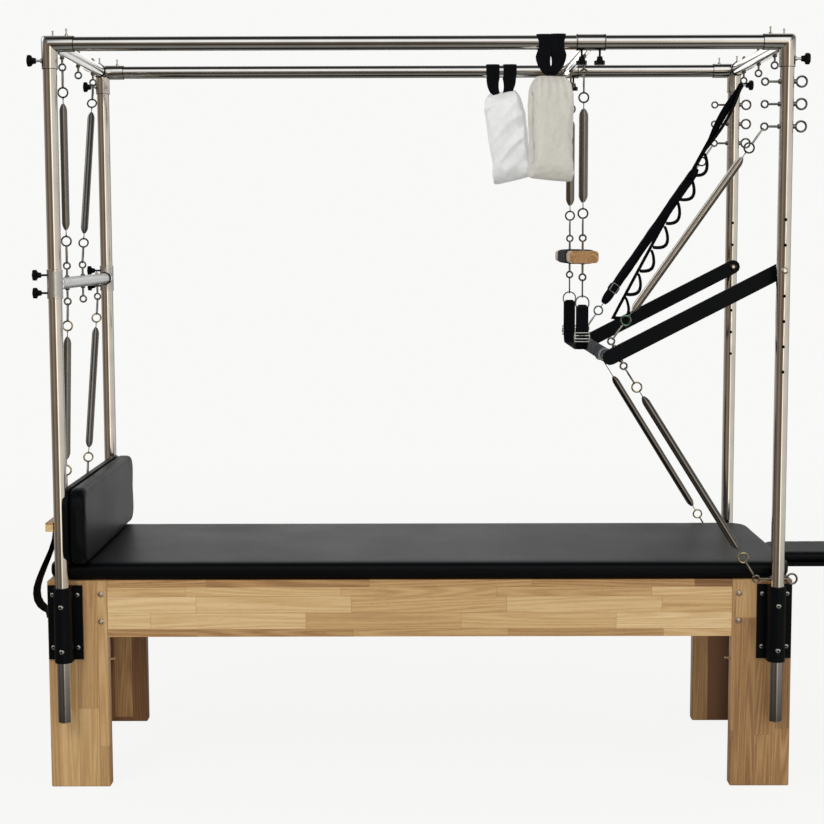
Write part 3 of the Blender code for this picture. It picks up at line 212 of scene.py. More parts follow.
CENTRE_X = -0.132
BED_HALF_LENGTH, BED_HALF_WIDTH, BED_TOP, LEG_WIDTH = 1.030, 0.344, 0.585, 0.165
WOOD_STOPS = [(0.0, (0.190, 0.085, 0.028)), (0.30, (0.410, 0.225, 0.085)),
              (0.60, (0.580, 0.368, 0.155)), (1.0, (0.780, 0.580, 0.315))]
FINGER_JOINT_SEAM = 0.0007
SHADE_ANGLE = math.radians(38)


def effect(name, inputs, outputs):
    """An empty shader node group, what it is given and the node that takes its results."""
    group = bpy.data.node_groups.new(name, "ShaderNodeTree")
    for label, kind, value in inputs:
        socket = group.interface.new_socket(label, in_out="INPUT", socket_type="NodeSocket" + kind)
        if value is not None:
            socket.default_value = value
    for label, kind in outputs:
        group.interface.new_socket(label, in_out="OUTPUT", socket_type="NodeSocket" + kind)
    return group, group.nodes.new("NodeGroupInput").outputs, group.nodes.new("NodeGroupOutput")


def scaled(tree, vector, factors):
    return put(tree, "VectorMath", {0: vector, 1: factors}, operation="MULTIPLY").outputs[0]


def speckle(tree, vector, factors, detail=2.0, rough=0.5):
    return put(tree, "TexNoise", {"Vector": scaled(tree, vector, factors), "Scale": 1.0, "Detail": detail,
                                  "Roughness": rough}).outputs[0]


def shades(tree, value, colour, *stops):
    """Darker and lighter shades of one colour; each stop is a place and a factor."""
    return ramp(tree, value, [(place, tuple(min(c * factor, 1.0) for c in colour))
                              for place, factor in stops])


def bumps(tree, height, strength, distance):
    return put(tree, "Bump", {"Height": height, "Strength": strength, "Distance": distance}).outputs[0]


def surface(name):
    """A new material, its node tree and its shader."""
    made = bpy.data.materials.new(name)
    made.use_nodes = True
    return made, made.node_tree, made.node_tree.nodes["Principled BSDF"]


def build_stave_effect():
    """Glued staves: a shade for each, with growth rings, fibres, pores and thin seams."""
    group, given, out = effect("glued_staves", [("Place", "Vector", None), ("Stave Length", "Float", 0.3),
                                                ("Stave Width", "Float", 0.042)],
                               [("Shade", "Float"), ("Seam", "Float"), ("Height", "Float")])
    parts = put(group, "SeparateXYZ", {0: given["Place"]}).outputs
    across = calc(group, "DIVIDE", parts[1], given["Stave Width"])
    row = calc(group, "FLOOR", across)
    shift = put(group, "TexWhiteNoise", {"W": row}, noise_dimensions="1D").outputs[0]
    along = madd(group, shift, 7.3, calc(group, "DIVIDE", parts[0], given["Stave Length"]))
    stave = put(group, "CombineXYZ", {0: row, 1: calc(group, "FLOOR", along), 2: 0.5}).outputs[0]
    chance = put(group, "TexWhiteNoise", {"Vector": stave}, noise_dimensions="3D").outputs
    moved = put(group, "VectorMath", {0: given["Place"], 1: scaled(group, chance[1], (3.0, 3.0, 3.0))},
                operation="ADD").outputs[0]
    field = speckle(group, moved, (0.55, 13.0, 13.0), 1.5, 0.4)
    rings = calc(group, "SINE", times(group, field, 120.0))
    fibre = speckle(group, moved, (9.0, 330.0, 330.0), 3.0, 0.6)
    pores = calc(group, "GREATER_THAN", speckle(group, moved, (42.0, 900.0, 900.0), 1.0), 0.66)
    shade = madd(group, chance[0], 0.50, 0.24)
    shade = madd(group, rings, 0.085, shade)
    shade = madd(group, fibre, 0.42, shade)
    shade = calc(group, "SUBTRACT", shade, 0.17)
    gaps = []
    for value, size in ((across, given["Stave Width"]), (along, given["Stave Length"])):
        part = calc(group, "FRACT", value)
        edge = calc(group, "MINIMUM", part, calc(group, "SUBTRACT", 1.0, part))
        gaps.append(times(group, edge, size))
    seam = calc(group, "LESS_THAN", calc(group, "MINIMUM", gaps[0], gaps[1]), FINGER_JOINT_SEAM)
    feed(group, out, {"Shade": madd(group, pores, -0.16, shade), "Seam": seam,
                      "Height": madd(group, seam, -0.6, times(group, fibre, 0.5))})
    return group


def laminated(name, place_of, stave_length, stave_width, darker=0.0):
    """Lacquered staves; place_of gives along, across and deep from the object's X, Y and Z."""
    made, tree, shader = surface(name)
    xyz = put(tree, "SeparateXYZ", {0: own_place(tree)}).outputs
    place = put(tree, "CombineXYZ", dict(enumerate(place_of(tree, *xyz)))).outputs[0]
    staves = put(tree, "Group", {"Place": place, "Stave Length": stave_length, "Stave Width": stave_width},
                 node_tree=stave_effect).outputs
    shade = ramp(tree, calc(tree, "SUBTRACT", staves["Shade"], darker), WOOD_STOPS)
    seam = times(tree, staves["Seam"], 0.45)
    feed(tree, shader, {"Base Color": tint(tree, seam, shade, (0.20, 0.10, 0.04, 1.0)),
                        "Roughness": madd(tree, staves["Shade"], -0.12, 0.50),
                        "Normal": bumps(tree, staves["Height"], 0.25, 0.0006),
                        "Coat Weight": 0.18, "Coat Roughness": 0.28})
    return made


def build_shading():
    """Welds the carried-over triangles and shades smooth between faces that meet at a low angle."""
    group = bpy.data.node_groups.new("smooth_by_angle", "GeometryNodeTree")
    group.interface.new_socket("Geometry", in_out="INPUT", socket_type="NodeSocketGeometry")
    group.interface.new_socket("Geometry", in_out="OUTPUT", socket_type="NodeSocketGeometry")
    start, end = group.nodes.new("NodeGroupInput"), group.nodes.new("NodeGroupOutput")
    weld = group.nodes.new("GeometryNodeMergeByDistance")
    weld.inputs["Distance"].default_value = 0.00001
    shader = "GeometryNodeSetShadeSmooth"
    faces, edges = group.nodes.new(shader), group.nodes.new(shader)
    faces.domain, edges.domain = "FACE", "EDGE"
    angle = group.nodes.new("GeometryNodeInputMeshEdgeAngle")
    sharp = group.nodes.new("FunctionNodeCompare")
    sharp.operation = "GREATER_THAN"
    sharp.inputs[1].default_value = SHADE_ANGLE
    edges.inputs["Shade Smooth"].default_value = False
    for source, target in ((start.outputs[0], weld.inputs[0]), (weld.outputs[0], faces.inputs[0]),
                           (faces.outputs[0], edges.inputs[0]), (angle.outputs[0], sharp.inputs[0]),
                           (sharp.outputs[0], edges.inputs["Selection"]), (edges.outputs[0], end.inputs[0])):
        group.links.new(source, target)
    return group


def dress(material, *names):
    """A carried-over node gets its finish and smooth shading."""
    for name in names:
        item = nodes[name]
        item.data.materials.clear()
        item.data.materials.append(material)
        if "custom_normal" in item.data.attributes:
            item.data.attributes.remove(item.data.attributes["custom_normal"])
        item.modifiers.new("shading", "NODES").node_group = smooth_shading


stave_effect = build_stave_effect()
smooth_shading = build_shading()


def up_the_leg(tree, x, y, z):
    return z, calc(tree, "ADD", x, y), calc(tree, "SUBTRACT", x, y)


def along_the_rail(tree, x, y, z):
    end_rail = calc(tree, "LESS_THAN", calc(tree, "ABSOLUTE", y), BED_HALF_WIDTH - 0.054)
    run = put(tree, "Mix", {0: end_rail, 2: x, 3: y}, data_type="FLOAT").outputs[0]
    deep = put(tree, "Mix", {0: end_rail, 2: y, 3: x}, data_type="FLOAT").outputs[0]
    return run, calc(tree, "ADD", z, 0.013), deep


def along_the_deck(tree, x, y, z):
    return x, calc(tree, "ADD", y, 0.031), z


leg_wood = laminated("leg_wood", up_the_leg, 0.62, 0.057, 0.15)
# The rear legs take a shaded copy of the leg wood: painted shade, darker by 0.45 instead of 0.15, for the
# shade under the bed.
shaded_rear_leg_wood = laminated("shaded_rear_leg_wood", up_the_leg, 0.62, 0.057, 0.45)
rail_wood = laminated("rail_wood", along_the_rail, 0.43, 0.046, -0.03)
# The deck wood is darker by painted shade, for the shadow under the mattress's edge.
shaded_deck_wood = laminated("shaded_deck_wood", along_the_deck, 0.45, 0.040, 0.36)
CORNERS = [(side, face, ("front" if face < 0 else "rear") + "_" + ("left" if side < 0 else "right"))
           for side in (-1, 1) for face in (-1, 1)]
dress(leg_wood, "leg_front_left", "leg_front_right")
dress(shaded_rear_leg_wood, "leg_rear_left", "leg_rear_right")
dress(rail_wood, "rail_frame")
dress(shaded_deck_wood, "deck_board")
dress(laminated("clamp_rail_wood", lambda tree, x, y, z: (y, z, x), 0.9, 0.05, 0.05), "clamp_rail")

# Bolts and screws: button heads with a hexagon socket, of bright zinc-plated steel,
# sunk into the legs, the brackets and the clamp rail.

BOLT_HEAD_RADIUS, SCREW_HEAD_RADIUS, HEAD_RISE = 0.0082, 0.0068, 0.0044
BOLT_INSET, BOLT_DROPS, HOOK_HEIGHT = 0.017, (0.038, 0.115), 0.360


def build_wear_effect():
    """Handling marks: soft smudges and fine scratches, as a mask and a height."""
    group, given, out = effect("handling_marks", [("Place", "Vector", None), ("Size", "Float", 1.0)],
                               [("Smudge", "Float"), ("Scratch", "Float")])
    place = put(group, "VectorMath", {0: given["Place"], 3: given["Size"]}, operation="SCALE").outputs[0]
    feed(group, out, {"Smudge": speckle(group, place, (11.0, 11.0, 11.0), 4.0, 0.6),
                      "Scratch": speckle(group, place, (600.0, 600.0, 22.0), 2.0, 0.5)})
    return group


wear_effect = build_wear_effect()


def metal(name, colour, roughness, spread=0.08, size=1.0, scratches=0.0):
    """Bare metal, whose polish varies a little with handling and drawing marks."""
    made, tree, shader = surface(name)
    marks = put(tree, "Group", {"Place": own_place(tree), "Size": size}, node_tree=wear_effect).outputs
    feed(tree, shader, {"Base Color": shades(tree, marks["Smudge"], colour, (0.2, 0.88), (0.7, 1.06)),
                        "Roughness": madd(tree, marks["Smudge"], spread, roughness - spread / 2),
                        "Metallic": 1.0})
    if scratches:
        feed(tree, shader, {"Normal": bumps(tree, marks["Scratch"], scratches, 0.0002)})
    return made


zinc = metal("zinc_plate", (0.88, 0.88, 0.86), 0.30)


def at(x, y, z):
    """A place, with x counted from the bed's middle."""
    return Vector((CENTRE_X + x, y, z))


def basis(axis):
    """Two directions square to an axis and to each other."""
    first = (X if abs(axis.dot(X)) < 0.8 else Z).cross(axis).normalized()
    return first, axis.cross(first)


def circle(bm, centre, first, second, radii):
    """Vertices round a centre, one for each radius."""
    return [bm.verts.new(centre + (first * math.cos(2 * math.pi * i / len(radii))
                                   + second * math.sin(2 * math.pi * i / len(radii))) * radius)
            for i, radius in enumerate(radii)]


def skin(bm, rings, start_closed=True, end_closed=True, joined=False):
    """Faces from ring to ring and over the ends, or back to the first ring where they are joined."""
    faces = []
    for low, high in zip(rings, rings[1:] + rings[:1] if joined else rings[1:]):
        for i in range(len(low)):
            j = (i + 1) % len(low)
            faces.append(bm.faces.new((low[i], low[j], high[j], high[i])))
    if start_closed and not joined:
        faces.append(bm.faces.new(list(reversed(rings[0]))))
    if end_closed and not joined:
        faces.append(bm.faces.new(rings[-1]))
    return faces


def turned(bm, base, axis, profile, sides=24, start_closed=True, end_closed=True):
    """A body of revolution; the profile is reach along the axis and radius."""
    skin(bm, [circle(bm, base + axis * reach, *basis(axis), [radius] * sides) for reach, radius in profile],
         start_closed, end_closed)


def rim(bm, base, axis, profile, sides=32):
    turned(bm, base, axis, profile, sides, False, False)


def made_piece(name, bm, material, body, angle=SHADE_ANGLE):
    """Turns a bmesh into a piece that rides on a body, or on none when no body is given."""
    bmesh.ops.recalc_face_normals(bm, faces=bm.faces)
    mesh = bpy.data.meshes.new(name)
    bm.to_mesh(mesh)
    bm.free()
    piece = new_object(name, mesh, material)
    mesh.shade_smooth()
    mesh.set_sharp_from_angle(angle=angle)
    if body:
        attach(piece, body)
    return piece


def button_head(bm, base, axis, radius, rise=HEAD_RISE):
    """A domed head with a hexagon socket."""
    turned(bm, base, axis, [(-0.001, radius), (rise * 0.35, radius), (rise * 0.75, radius * 0.84),
                            (rise, radius * 0.52), (rise, radius * 0.42), (rise * 0.35, radius * 0.38)], 18)


bolts = bmesh.new()
for side, face, place in CORNERS:
    for drop in BOLT_DROPS:
        spot = at(side * (BED_HALF_LENGTH - LEG_WIDTH + BOLT_INSET), face * BED_HALF_WIDTH, BED_TOP - drop)
        button_head(bolts, spot, Y * face, BOLT_HEAD_RADIUS)
    hook = at(side * (BED_HALF_LENGTH - LEG_WIDTH), face * (BED_HALF_WIDTH - 0.021), HOOK_HEIGHT)
    turned(bolts, hook - X * side * 0.0135, -X * side, [(0.0, 0.0028), (0.001, 0.0034), (0.0015, 0.0028)], 12)
made_piece("leg_bolts", bolts, zinc, "frame")

# Canopy: thin-walled stainless tubes, drawn and polished. The posts stand in the brackets; mitred
# corner fittings with set screws and a star knob join them to the long and the short top tubes.

POST_X, POST_Y, TOP_Z = 0.980, 0.380, 2.040
TUBE_RADIUS, SLEEVE_RADIUS, SLEEVE_REACH = 0.019, 0.0215, 0.065
MITRE_ROUND, TUBE_ROOM, KNOB_DROP, SCREW_INWARD = 0.009, 0.0003, 0.044, 0.046
polished = metal("polished_steel", (0.86, 0.845, 0.815), 0.10, 0.05)
satin = metal("satin_aluminium", (0.90, 0.90, 0.89), 0.36, scratches=0.10)
dress(polished, *["post_" + place for side, face, place in CORNERS], "side_tube_front", "side_tube_rear",
      "end_tube_left", "end_tube_right", "slide_bar")
dress(satin, "mid_bar")


def moulded(name, colour, roughness, grain=900.0, depth=0.00015):
    """Moulded plastic or powder coat: a fine orange-peel grain and slightly uneven gloss."""
    made, tree, shader = surface(name)
    place = own_place(tree)
    cloud = speckle(tree, place, (9.0, 9.0, 9.0), 3.0, 0.6)
    peel = speckle(tree, place, (grain, grain, grain), 2.0, 0.5)
    feed(tree, shader, {"Base Color": shades(tree, cloud, colour, (0.2, 0.8), (0.8, 1.3)),
                        "Roughness": madd(tree, cloud, 0.16, roughness - 0.08),
                        "Normal": bumps(tree, peel, 0.3, depth), "Specular IOR Level": 0.12})
    return made


black_plastic = moulded("black_plastic", (0.0030, 0.0030, 0.0034), 0.40)
powder_coat = moulded("powder_coat", (0.0020, 0.0027, 0.0037), 0.42, 1400.0, 0.0001)


def elbow(bm, middle, side, face):
    """A mitred two-way sleeve with a third sleeve towards the middle of the bed's end."""
    walls = []
    for wall in (SLEEVE_RADIUS, TUBE_RADIUS + TUBE_ROOM):
        rows = []
        for turn in [2 * math.pi * i / 32 for i in range(32)]:
            out, cut = wall * math.cos(turn), MITRE_ROUND * (math.cos(turn) + 1) / 2
            corner = out - cut * 0.29
            places = ((out, -SLEEVE_REACH), (out, out - cut), (corner, corner), (out - cut, out),
                      (-SLEEVE_REACH, out))
            rows.append([middle + Y * wall * math.sin(turn) + X * side * a + Z * b for a, b in places])
        walls.append([[bm.verts.new(p) for p in ring] for ring in zip(*rows)])
    skin(bm, walls[0] + walls[1][::-1], joined=True)
    turned(bm, middle - Y * face * TUBE_RADIUS * 0.5, -Y * face,
           [(0.0, SLEEVE_RADIUS * 0.9), (SLEEVE_REACH - TUBE_RADIUS * 0.5 - 0.0012, SLEEVE_RADIUS),
            (SLEEVE_REACH - TUBE_RADIUS * 0.5, SLEEVE_RADIUS - 0.0010),
            (SLEEVE_REACH - TUBE_RADIUS * 0.5, TUBE_RADIUS + 0.0002)], 32, True, False)


def set_screw(bm, base):
    """A headless screw with a lock nut and a slotted tip."""
    turned(bm, base, Z, [(-0.001, 0.0048), (0.0038, 0.0048), (0.0044, 0.0042), (0.0044, 0.0022),
                         (0.0150, 0.0022), (0.0155, 0.0030), (0.0185, 0.0030), (0.0190, 0.0024)], 12)


def star_knob(bm, seat, out):
    """Five lobes with rounded edges on a hub, as moulded hand knobs have."""
    first, second = basis(out)
    levels = [(0.037, 0.0074, 0.0), (0.0455, 0.0086, 0.0), (0.0470, 0.0118, 0.35), (0.0485, 0.0150, 1.0),
              (0.0520, 0.0160, 1.0), (0.0565, 0.0160, 1.0), (0.0590, 0.0150, 0.9), (0.0598, 0.0115, 0.3)]
    waves = [0.17 * (0.5 - 0.5 * math.cos(5 * 2 * math.pi * i / 40)) for i in range(40)]
    skin(bm, [circle(bm, seat + out * reach, first, second, [radius * (1.0 - lobed * wave) for wave in waves])
              for reach, radius, lobed in levels])


for side, face, place in CORNERS:
    middle = at(side * POST_X, face * POST_Y, TOP_Z)
    fitting = bmesh.new()
    elbow(fitting, middle, side, face)
    turned(fitting, middle + X * side * (SLEEVE_RADIUS - 0.001) - Z * KNOB_DROP, X * side,
           [(0.0, 0.0062), (0.004, 0.0062), (0.0045, 0.0032), (0.0165, 0.0032)], 16)
    for inward in (-X * side, -Y * face):
        set_screw(fitting, middle + Z * (SLEEVE_RADIUS - 0.0005) + inward * SCREW_INWARD)
    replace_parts(made_piece("corner_sleeve_" + place, fitting, polished, "frame"),
                "corner_fitting_" + place)
    knob = bmesh.new()
    star_knob(knob, middle - Z * KNOB_DROP, X * side)
    made_piece("corner_knob_" + place, knob, black_plastic, "frame")
    gaps = bmesh.new()
    for out in (-Z, -X * side, -Y * face):
        rim(gaps, middle + out * SLEEVE_REACH, out,
            [(-0.0004, SLEEVE_RADIUS - 0.0002), (0.0012, SLEEVE_RADIUS - 0.0006),
             (0.0012, TUBE_RADIUS + 0.0001)])
    made_piece("sleeve_seals_" + place, gaps, black_plastic, "frame")

# Brackets: bent steel plates with a half-round sleeve, black powder coat, each held by four screws
# to the leg and two to the post.

dress(powder_coat, *["post_bracket_" + place for side, face, place in CORNERS])
BRACKET_TOP, SCREW_SHIFT, SCREW_DROPS, SLEEVE_SCREW_DROPS = 0.573, 0.034, (0.026, 0.174), (0.050, 0.174)
screws = bmesh.new()
for side, face, place in CORNERS:
    for drop in SCREW_DROPS:
        for shift in (-SCREW_SHIFT, SCREW_SHIFT):
            spot = at(side * POST_X + shift, face * (BED_HALF_WIDTH + 0.0053), BRACKET_TOP - drop)
            button_head(screws, spot, Y * face, SCREW_HEAD_RADIUS)
    for drop in SLEEVE_SCREW_DROPS:
        spot = at(side * POST_X, face * (POST_Y + 0.0243), BRACKET_TOP - drop)
        button_head(screws, spot, Y * face, SCREW_HEAD_RADIUS)
made_piece("bracket_screws", screws, zinc, "frame")

# Post holes: a row of pin holes through each right post. Behind every free one a small disc of black
# plastic in the middle of the tube closes the view through it: painted shade, a dark sheet standing in for
# the shade inside the tube.

HOLE_LOWEST, HOLE_PITCH, HOLE_COUNT, PIVOT_HOLE, HOLE_SHADE_RADIUS = 1.163, 0.068, 7, 4, 0.00672
hole_shade_discs = bmesh.new()
for face in (-1, 1):
    for i in range(HOLE_COUNT):
        if i != PIVOT_HOLE:
            spot = at(POST_X, face * POST_Y, HOLE_LOWEST + HOLE_PITCH * i)
            turned(hole_shade_discs, spot - Y * 0.0012, Y, [(0.0, HOLE_SHADE_RADIUS), (0.0024, HOLE_SHADE_RADIUS)], 16)
# Painted shade: these black discs stand in for the dark inside of the tubes.
made_piece("post_hole_shade_discs", hole_shade_discs, black_plastic, "frame")

# Eyebolts: bent wire eyes on threaded shanks with a nut each side, through the tubes and bars.
# Every eye lies square to the long sides, so that the springs' hooks hang edge on.

EYE_RADIUS, EYE_WIRE, SHANK_RADIUS = 0.0090, 0.0026, 0.0033
EYE_Y, EYE_DROP = 0.22, 0.045
POST_EYES, HIGH_EYE, LOW_EYE, POST_EYE_REACH = (1.877, 1.936), 1.818, 0.594, 0.058
OUTER_RING_REACH, OUTER_RING_RADIUS, OUTER_RING_WIRE = 0.0395, 0.0138, 0.0029
eye_steel = metal("eyebolt_steel", (0.29, 0.275, 0.245), 0.20)


def tube_along(bm, points, radius, sides=8, closed=False, square=None):
    """A round bar along points; square is a direction that it never runs along."""
    count = len(points)
    rings = []
    up = square
    for i, point in enumerate(points):
        if closed:
            travel = points[(i + 1) % count] - points[i - 1]
        else:
            travel = points[min(i + 1, count - 1)] - points[max(i - 1, 0)]
        travel.normalize()
        if up is None:
            up = basis(travel)[0]
        side_way = travel.cross(up).normalized()
        across = side_way.cross(travel)
        if square is None:
            up = across
        size = radius[i] if isinstance(radius, list) else radius
        rings.append(circle(bm, point, side_way, across, [size] * sides))
    skin(bm, rings, joined=closed)


def ring_points(centre, first, second, radius, steps=28, long=0.0):
    """A circle, or a link whose straight sides are twice long."""
    points = []
    for i in range(steps):
        turn = 2 * math.pi * i / steps
        stretch = long if math.sin(turn) >= 0 else -long
        points.append(centre + first * radius * math.cos(turn) + second * (radius * math.sin(turn) + stretch))
    return points


def eyebolt(bm, root, eye, collar):
    """An eye with its shank, from root on the bar's axis; collar is where the nut sits."""
    out = (eye - root).normalized()
    tube_along(bm, ring_points(eye, out, out.cross(Y), EYE_RADIUS), EYE_WIRE, 8, True, Y)
    reach = (eye - root).length
    turned(bm, root + out * (collar - 0.002), out,
           [(0.0, 0.0064), (0.0045, 0.0066), (0.0060, 0.0058), (0.0060, SHANK_RADIUS),
            (reach - EYE_RADIUS - collar + 0.002, SHANK_RADIUS * 0.9)], 12)


eyes = bmesh.new()
for side in (-1, 1):
    for y in (-EYE_Y, 0.0, EYE_Y):
        root = at(side * POST_X, y, TOP_Z)
        eyebolt(eyes, root, root - Z * EYE_DROP, TUBE_RADIUS)
        turned(eyes, root + Z * (TUBE_RADIUS - 0.001), Z,
               [(0.0, 0.0064), (0.005, 0.0064), (0.0055, 0.0033), (0.0092, 0.0033)], 12)
for face in (-1, 1):
    for height in (HIGH_EYE, *POST_EYES, LOW_EYE):
        root = at(POST_X, face * POST_Y, height)
        eyebolt(eyes, root, root - X * POST_EYE_REACH, TUBE_RADIUS)
        turned(eyes, root + X * (TUBE_RADIUS - 0.001), X,
               [(0.0, 0.0064), (0.0050, 0.0064), (0.0060, 0.0034), (0.0076, 0.0034)], 12)
        outer_ring = ring_points(root + X * OUTER_RING_REACH, X, Z, OUTER_RING_RADIUS, 32)
        tube_along(eyes, outer_ring, OUTER_RING_WIRE, 8, True, Y)
made_piece("canopy_eyebolts", eyes, eye_steel, "frame")

# Mid bar: a satin aluminium tube between two T-clamps that slide on the left posts. Two black star
# knobs lock each clamp, and a black ring closes the joint at the rear.

MID_Z, CROSS_RADIUS, CLAMP_HALF, MID_EYE_DROP, MID_EYE_RISE = 1.404, 0.0165, 0.039, 0.052, 0.047
dress(black_plastic, *[bar + "_knob_" + face + "_" + mark for bar in ("mid_bar", "slide_bar")
                       for face in ("front", "rear") for mark in "ab"])
mid_eyes = bmesh.new()
for y, rises in ((-EYE_Y, True), (0.0, True), (EYE_Y, False)):
    root = at(-POST_X, y, MID_Z)
    eyebolt(mid_eyes, root, root - Z * MID_EYE_DROP, CROSS_RADIUS)
    if rises:
        eyebolt(mid_eyes, root, root + Z * MID_EYE_RISE, CROSS_RADIUS)
made_piece("mid_bar_eyebolts", mid_eyes, eye_steel, "mid_bar")


def clamp_collar(bm, seat, along):
    """The turned rim at each end of a sliding clamp."""
    for end in (-1, 1):
        rim(bm, seat + along * end * (CLAMP_HALF - 0.004), along * end,
            [(0.0, SLEEVE_RADIUS + 0.0004), (0.0034, SLEEVE_RADIUS + 0.0004),
             (0.0042, SLEEVE_RADIUS - 0.0004), (0.0042, TUBE_RADIUS + 0.0004)])


mid_clamps = bmesh.new()
gaskets = bmesh.new()
for face in (-1, 1):
    seat = at(-POST_X, face * POST_Y, MID_Z)
    clamp_collar(mid_clamps, seat, Z)
    rim(mid_clamps, seat - Y * face * 0.014, -Y * face,
        [(0.0, 0.0196), (0.017, 0.0196), (0.018, 0.0188), (0.018, CROSS_RADIUS + 0.0004)])
    rim(gaskets, seat - Y * face * 0.0322, -Y * face,
        [(0.0, CROSS_RADIUS + 0.0003), (0.0, 0.0198), (0.0034, 0.0198), (0.0034, CROSS_RADIUS + 0.0003)])
made_piece("mid_bar_clamp_rims", mid_clamps, polished, "mid_bar")
made_piece("mid_bar_gaskets", gaskets, black_plastic, "mid_bar")

# Slide bar: a polished tube across the canopy on two T-clamps that run along the long tubes,
# locked by knobs from below. The trapeze hangs from its two eyes.

SLIDE_X, HANG_Y, SLIDE_EYE_DROP = CENTRE_X + 0.458, 0.2, 0.061
slide_parts = bmesh.new()
for y in (-HANG_Y, HANG_Y):
    root = Vector((SLIDE_X, y, TOP_Z))
    eyebolt(slide_parts, root, root - Z * SLIDE_EYE_DROP, CROSS_RADIUS)
for face in (-1, 1):
    clamp_collar(slide_parts, Vector((SLIDE_X, face * POST_Y, TOP_Z)), X)
made_piece("slide_bar_fittings", slide_parts, eye_steel, "slide_bar")

# Springs: close-wound steel wire with tapered ends, a ring at each end, and a snap hook from the
# ring to its eye. The springs at the push bar and the mid bar are left where they are built, on no body.

HOOK_LENGTH, HOOK_HALF_WIDTH, HOOK_WIRE = 0.050, 0.0062, 0.0020
RING_RADIUS, RING_WIRE = 0.0132, 0.0024
NECK_END, TAPER = 0.0905, 0.020
BOARD_EYE_X, BOARD_EYES, BOARD_EYE_Z, TRAPEZE_EYE_Z = -0.986, (-0.270, 0.030), 0.815, 1.524
COIL_WIRE, COIL_DEPTH, COIL_STEPS, COIL_SIDES, COIL_ANGLE = 0.00135, 0.0003, 14, 5, math.radians(95)
MID_BAR_SPRING, PUSH_SPRING, TRAPEZE_SPRING = 0.0108, 0.0108, 0.0130
dark_spring = metal("oiled_spring_steel", (0.27, 0.257, 0.235), 0.16, 0.06, 2.0)
bright_spring = metal("bright_spring_steel", (0.74, 0.69, 0.61), 0.16, 0.06, 2.0)
hook_steel = metal("hook_steel", (0.42, 0.41, 0.38), 0.20)
dark_ring = metal("dark_ring_steel", (0.13, 0.115, 0.095), 0.22)
brass_ring = metal("brass_plated_ring", (0.66, 0.56, 0.28), 0.22)
green_ring = metal("green_passivated_ring", (0.24, 0.40, 0.27), 0.24)


def coil(bm, start, along, length, radius):
    """A helix of touching turns whose radius draws in at both ends."""
    first, second = basis(along)
    turns = int(length / (2 * COIL_WIRE))
    total = turns * COIL_STEPS
    rings = []
    for i in range(total + 1):
        reach = length * i / total
        edge = max(0.0, min(reach, length - reach))
        size = radius - COIL_DEPTH
        if edge < TAPER:
            size *= 0.30 + 0.70 * math.sin(edge / TAPER * math.pi / 2) ** 0.8
        turn = 2 * math.pi * i / COIL_STEPS
        out = first * math.cos(turn) + second * math.sin(turn)
        ring = []
        for k in range(COIL_SIDES):
            side = 2 * math.pi * k / COIL_SIDES
            ring.append(bm.verts.new(start + along * (reach + COIL_WIRE * 1.08 * math.sin(side))
                                     + out * (size + COIL_DEPTH * math.cos(side))))
        rings.append(ring)
    skin(bm, rings)


def end_set(hook_bm, ring_bm, eye_point, along, hooked=True):
    """Snap hook, ring and the spring's bent end, from the eye to the first turn."""
    flat = (Y - along * along.dot(Y)).normalized()
    ring_centre = eye_point + along * (HOOK_LENGTH - 0.004 + RING_RADIUS)
    if hooked:
        middle = eye_point + along * (HOOK_LENGTH / 2 - 0.0028)
        half = HOOK_LENGTH / 2 - HOOK_HALF_WIDTH
        tube_along(hook_bm, ring_points(middle, flat, along, HOOK_HALF_WIDTH, 24, half),
                   HOOK_WIRE, 7, True, along.cross(flat))
        gate = middle + flat * (HOOK_HALF_WIDTH + 0.0004)
        tube_along(hook_bm, [gate - along * 0.011, gate - along * 0.009, gate + along * 0.009,
                             gate + along * 0.011], [0.0016, 0.0024, 0.0024, 0.0016], 8)
    else:
        ring_centre = eye_point + along * (RING_RADIUS - 0.003)
    tube_along(ring_bm, ring_points(ring_centre, along, along.cross(flat), RING_RADIUS, 32),
               RING_WIRE, 8, True, flat)
    tail = ring_centre + along * RING_RADIUS
    loop = ring_points(tail + along * 0.0022, along, flat, 0.0042, 14)
    tube_along(ring_bm, loop, 0.00125, 6, True, along.cross(flat))
    return tail + along * 0.0060


def spring(name, start, end, radius, wire, ring_finish, body="frame", moving=None, hooked=(True, True)):
    """One spring with its end sets; moving is the body at its far end where that isn't the same."""
    run = end - start
    pull = (run - Y * run.dot(Y)).normalized() * EYE_RADIUS
    along = (run - 2 * pull).normalized()
    near, far = start + pull, end - pull
    coils, hooks = bmesh.new(), bmesh.new()
    rings = [bmesh.new(), bmesh.new()]
    tips = [end_set(hooks, rings[0], near, along, hooked[0]),
            end_set(hooks, rings[1], far, -along, hooked[1])]
    first_turn, last_turn = near + along * NECK_END, far - along * NECK_END
    for tip, turn in ((tips[0], first_turn), (tips[1], last_turn)):
        if (turn - tip).dot(along) * (1 if turn is first_turn else -1) > 0.001:
            tube_along(coils, [tip - (turn - tip).normalized() * 0.001, tip.lerp(turn, 0.5), turn], 0.0013, 6)
    coil(coils, first_turn, along, (last_turn - first_turn).length, radius)
    coil_piece = made_piece(name, coils, wire, None, COIL_ANGLE)
    pieces = [coil_piece]
    for bm, part, finish in ((hooks, "hooks", hook_steel), (rings[0], "ring_a", ring_finish[0]),
                             (rings[1], "ring_b", ring_finish[1])):
        if bm.verts:
            pieces.append(made_piece(name + "_" + part, bm, finish, None))
        else:
            bm.free()
    for piece in pieces:
        if moving:
            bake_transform(piece)
        else:
            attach(piece, body)
    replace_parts(coil_piece, name)
    return along, first_turn, last_turn


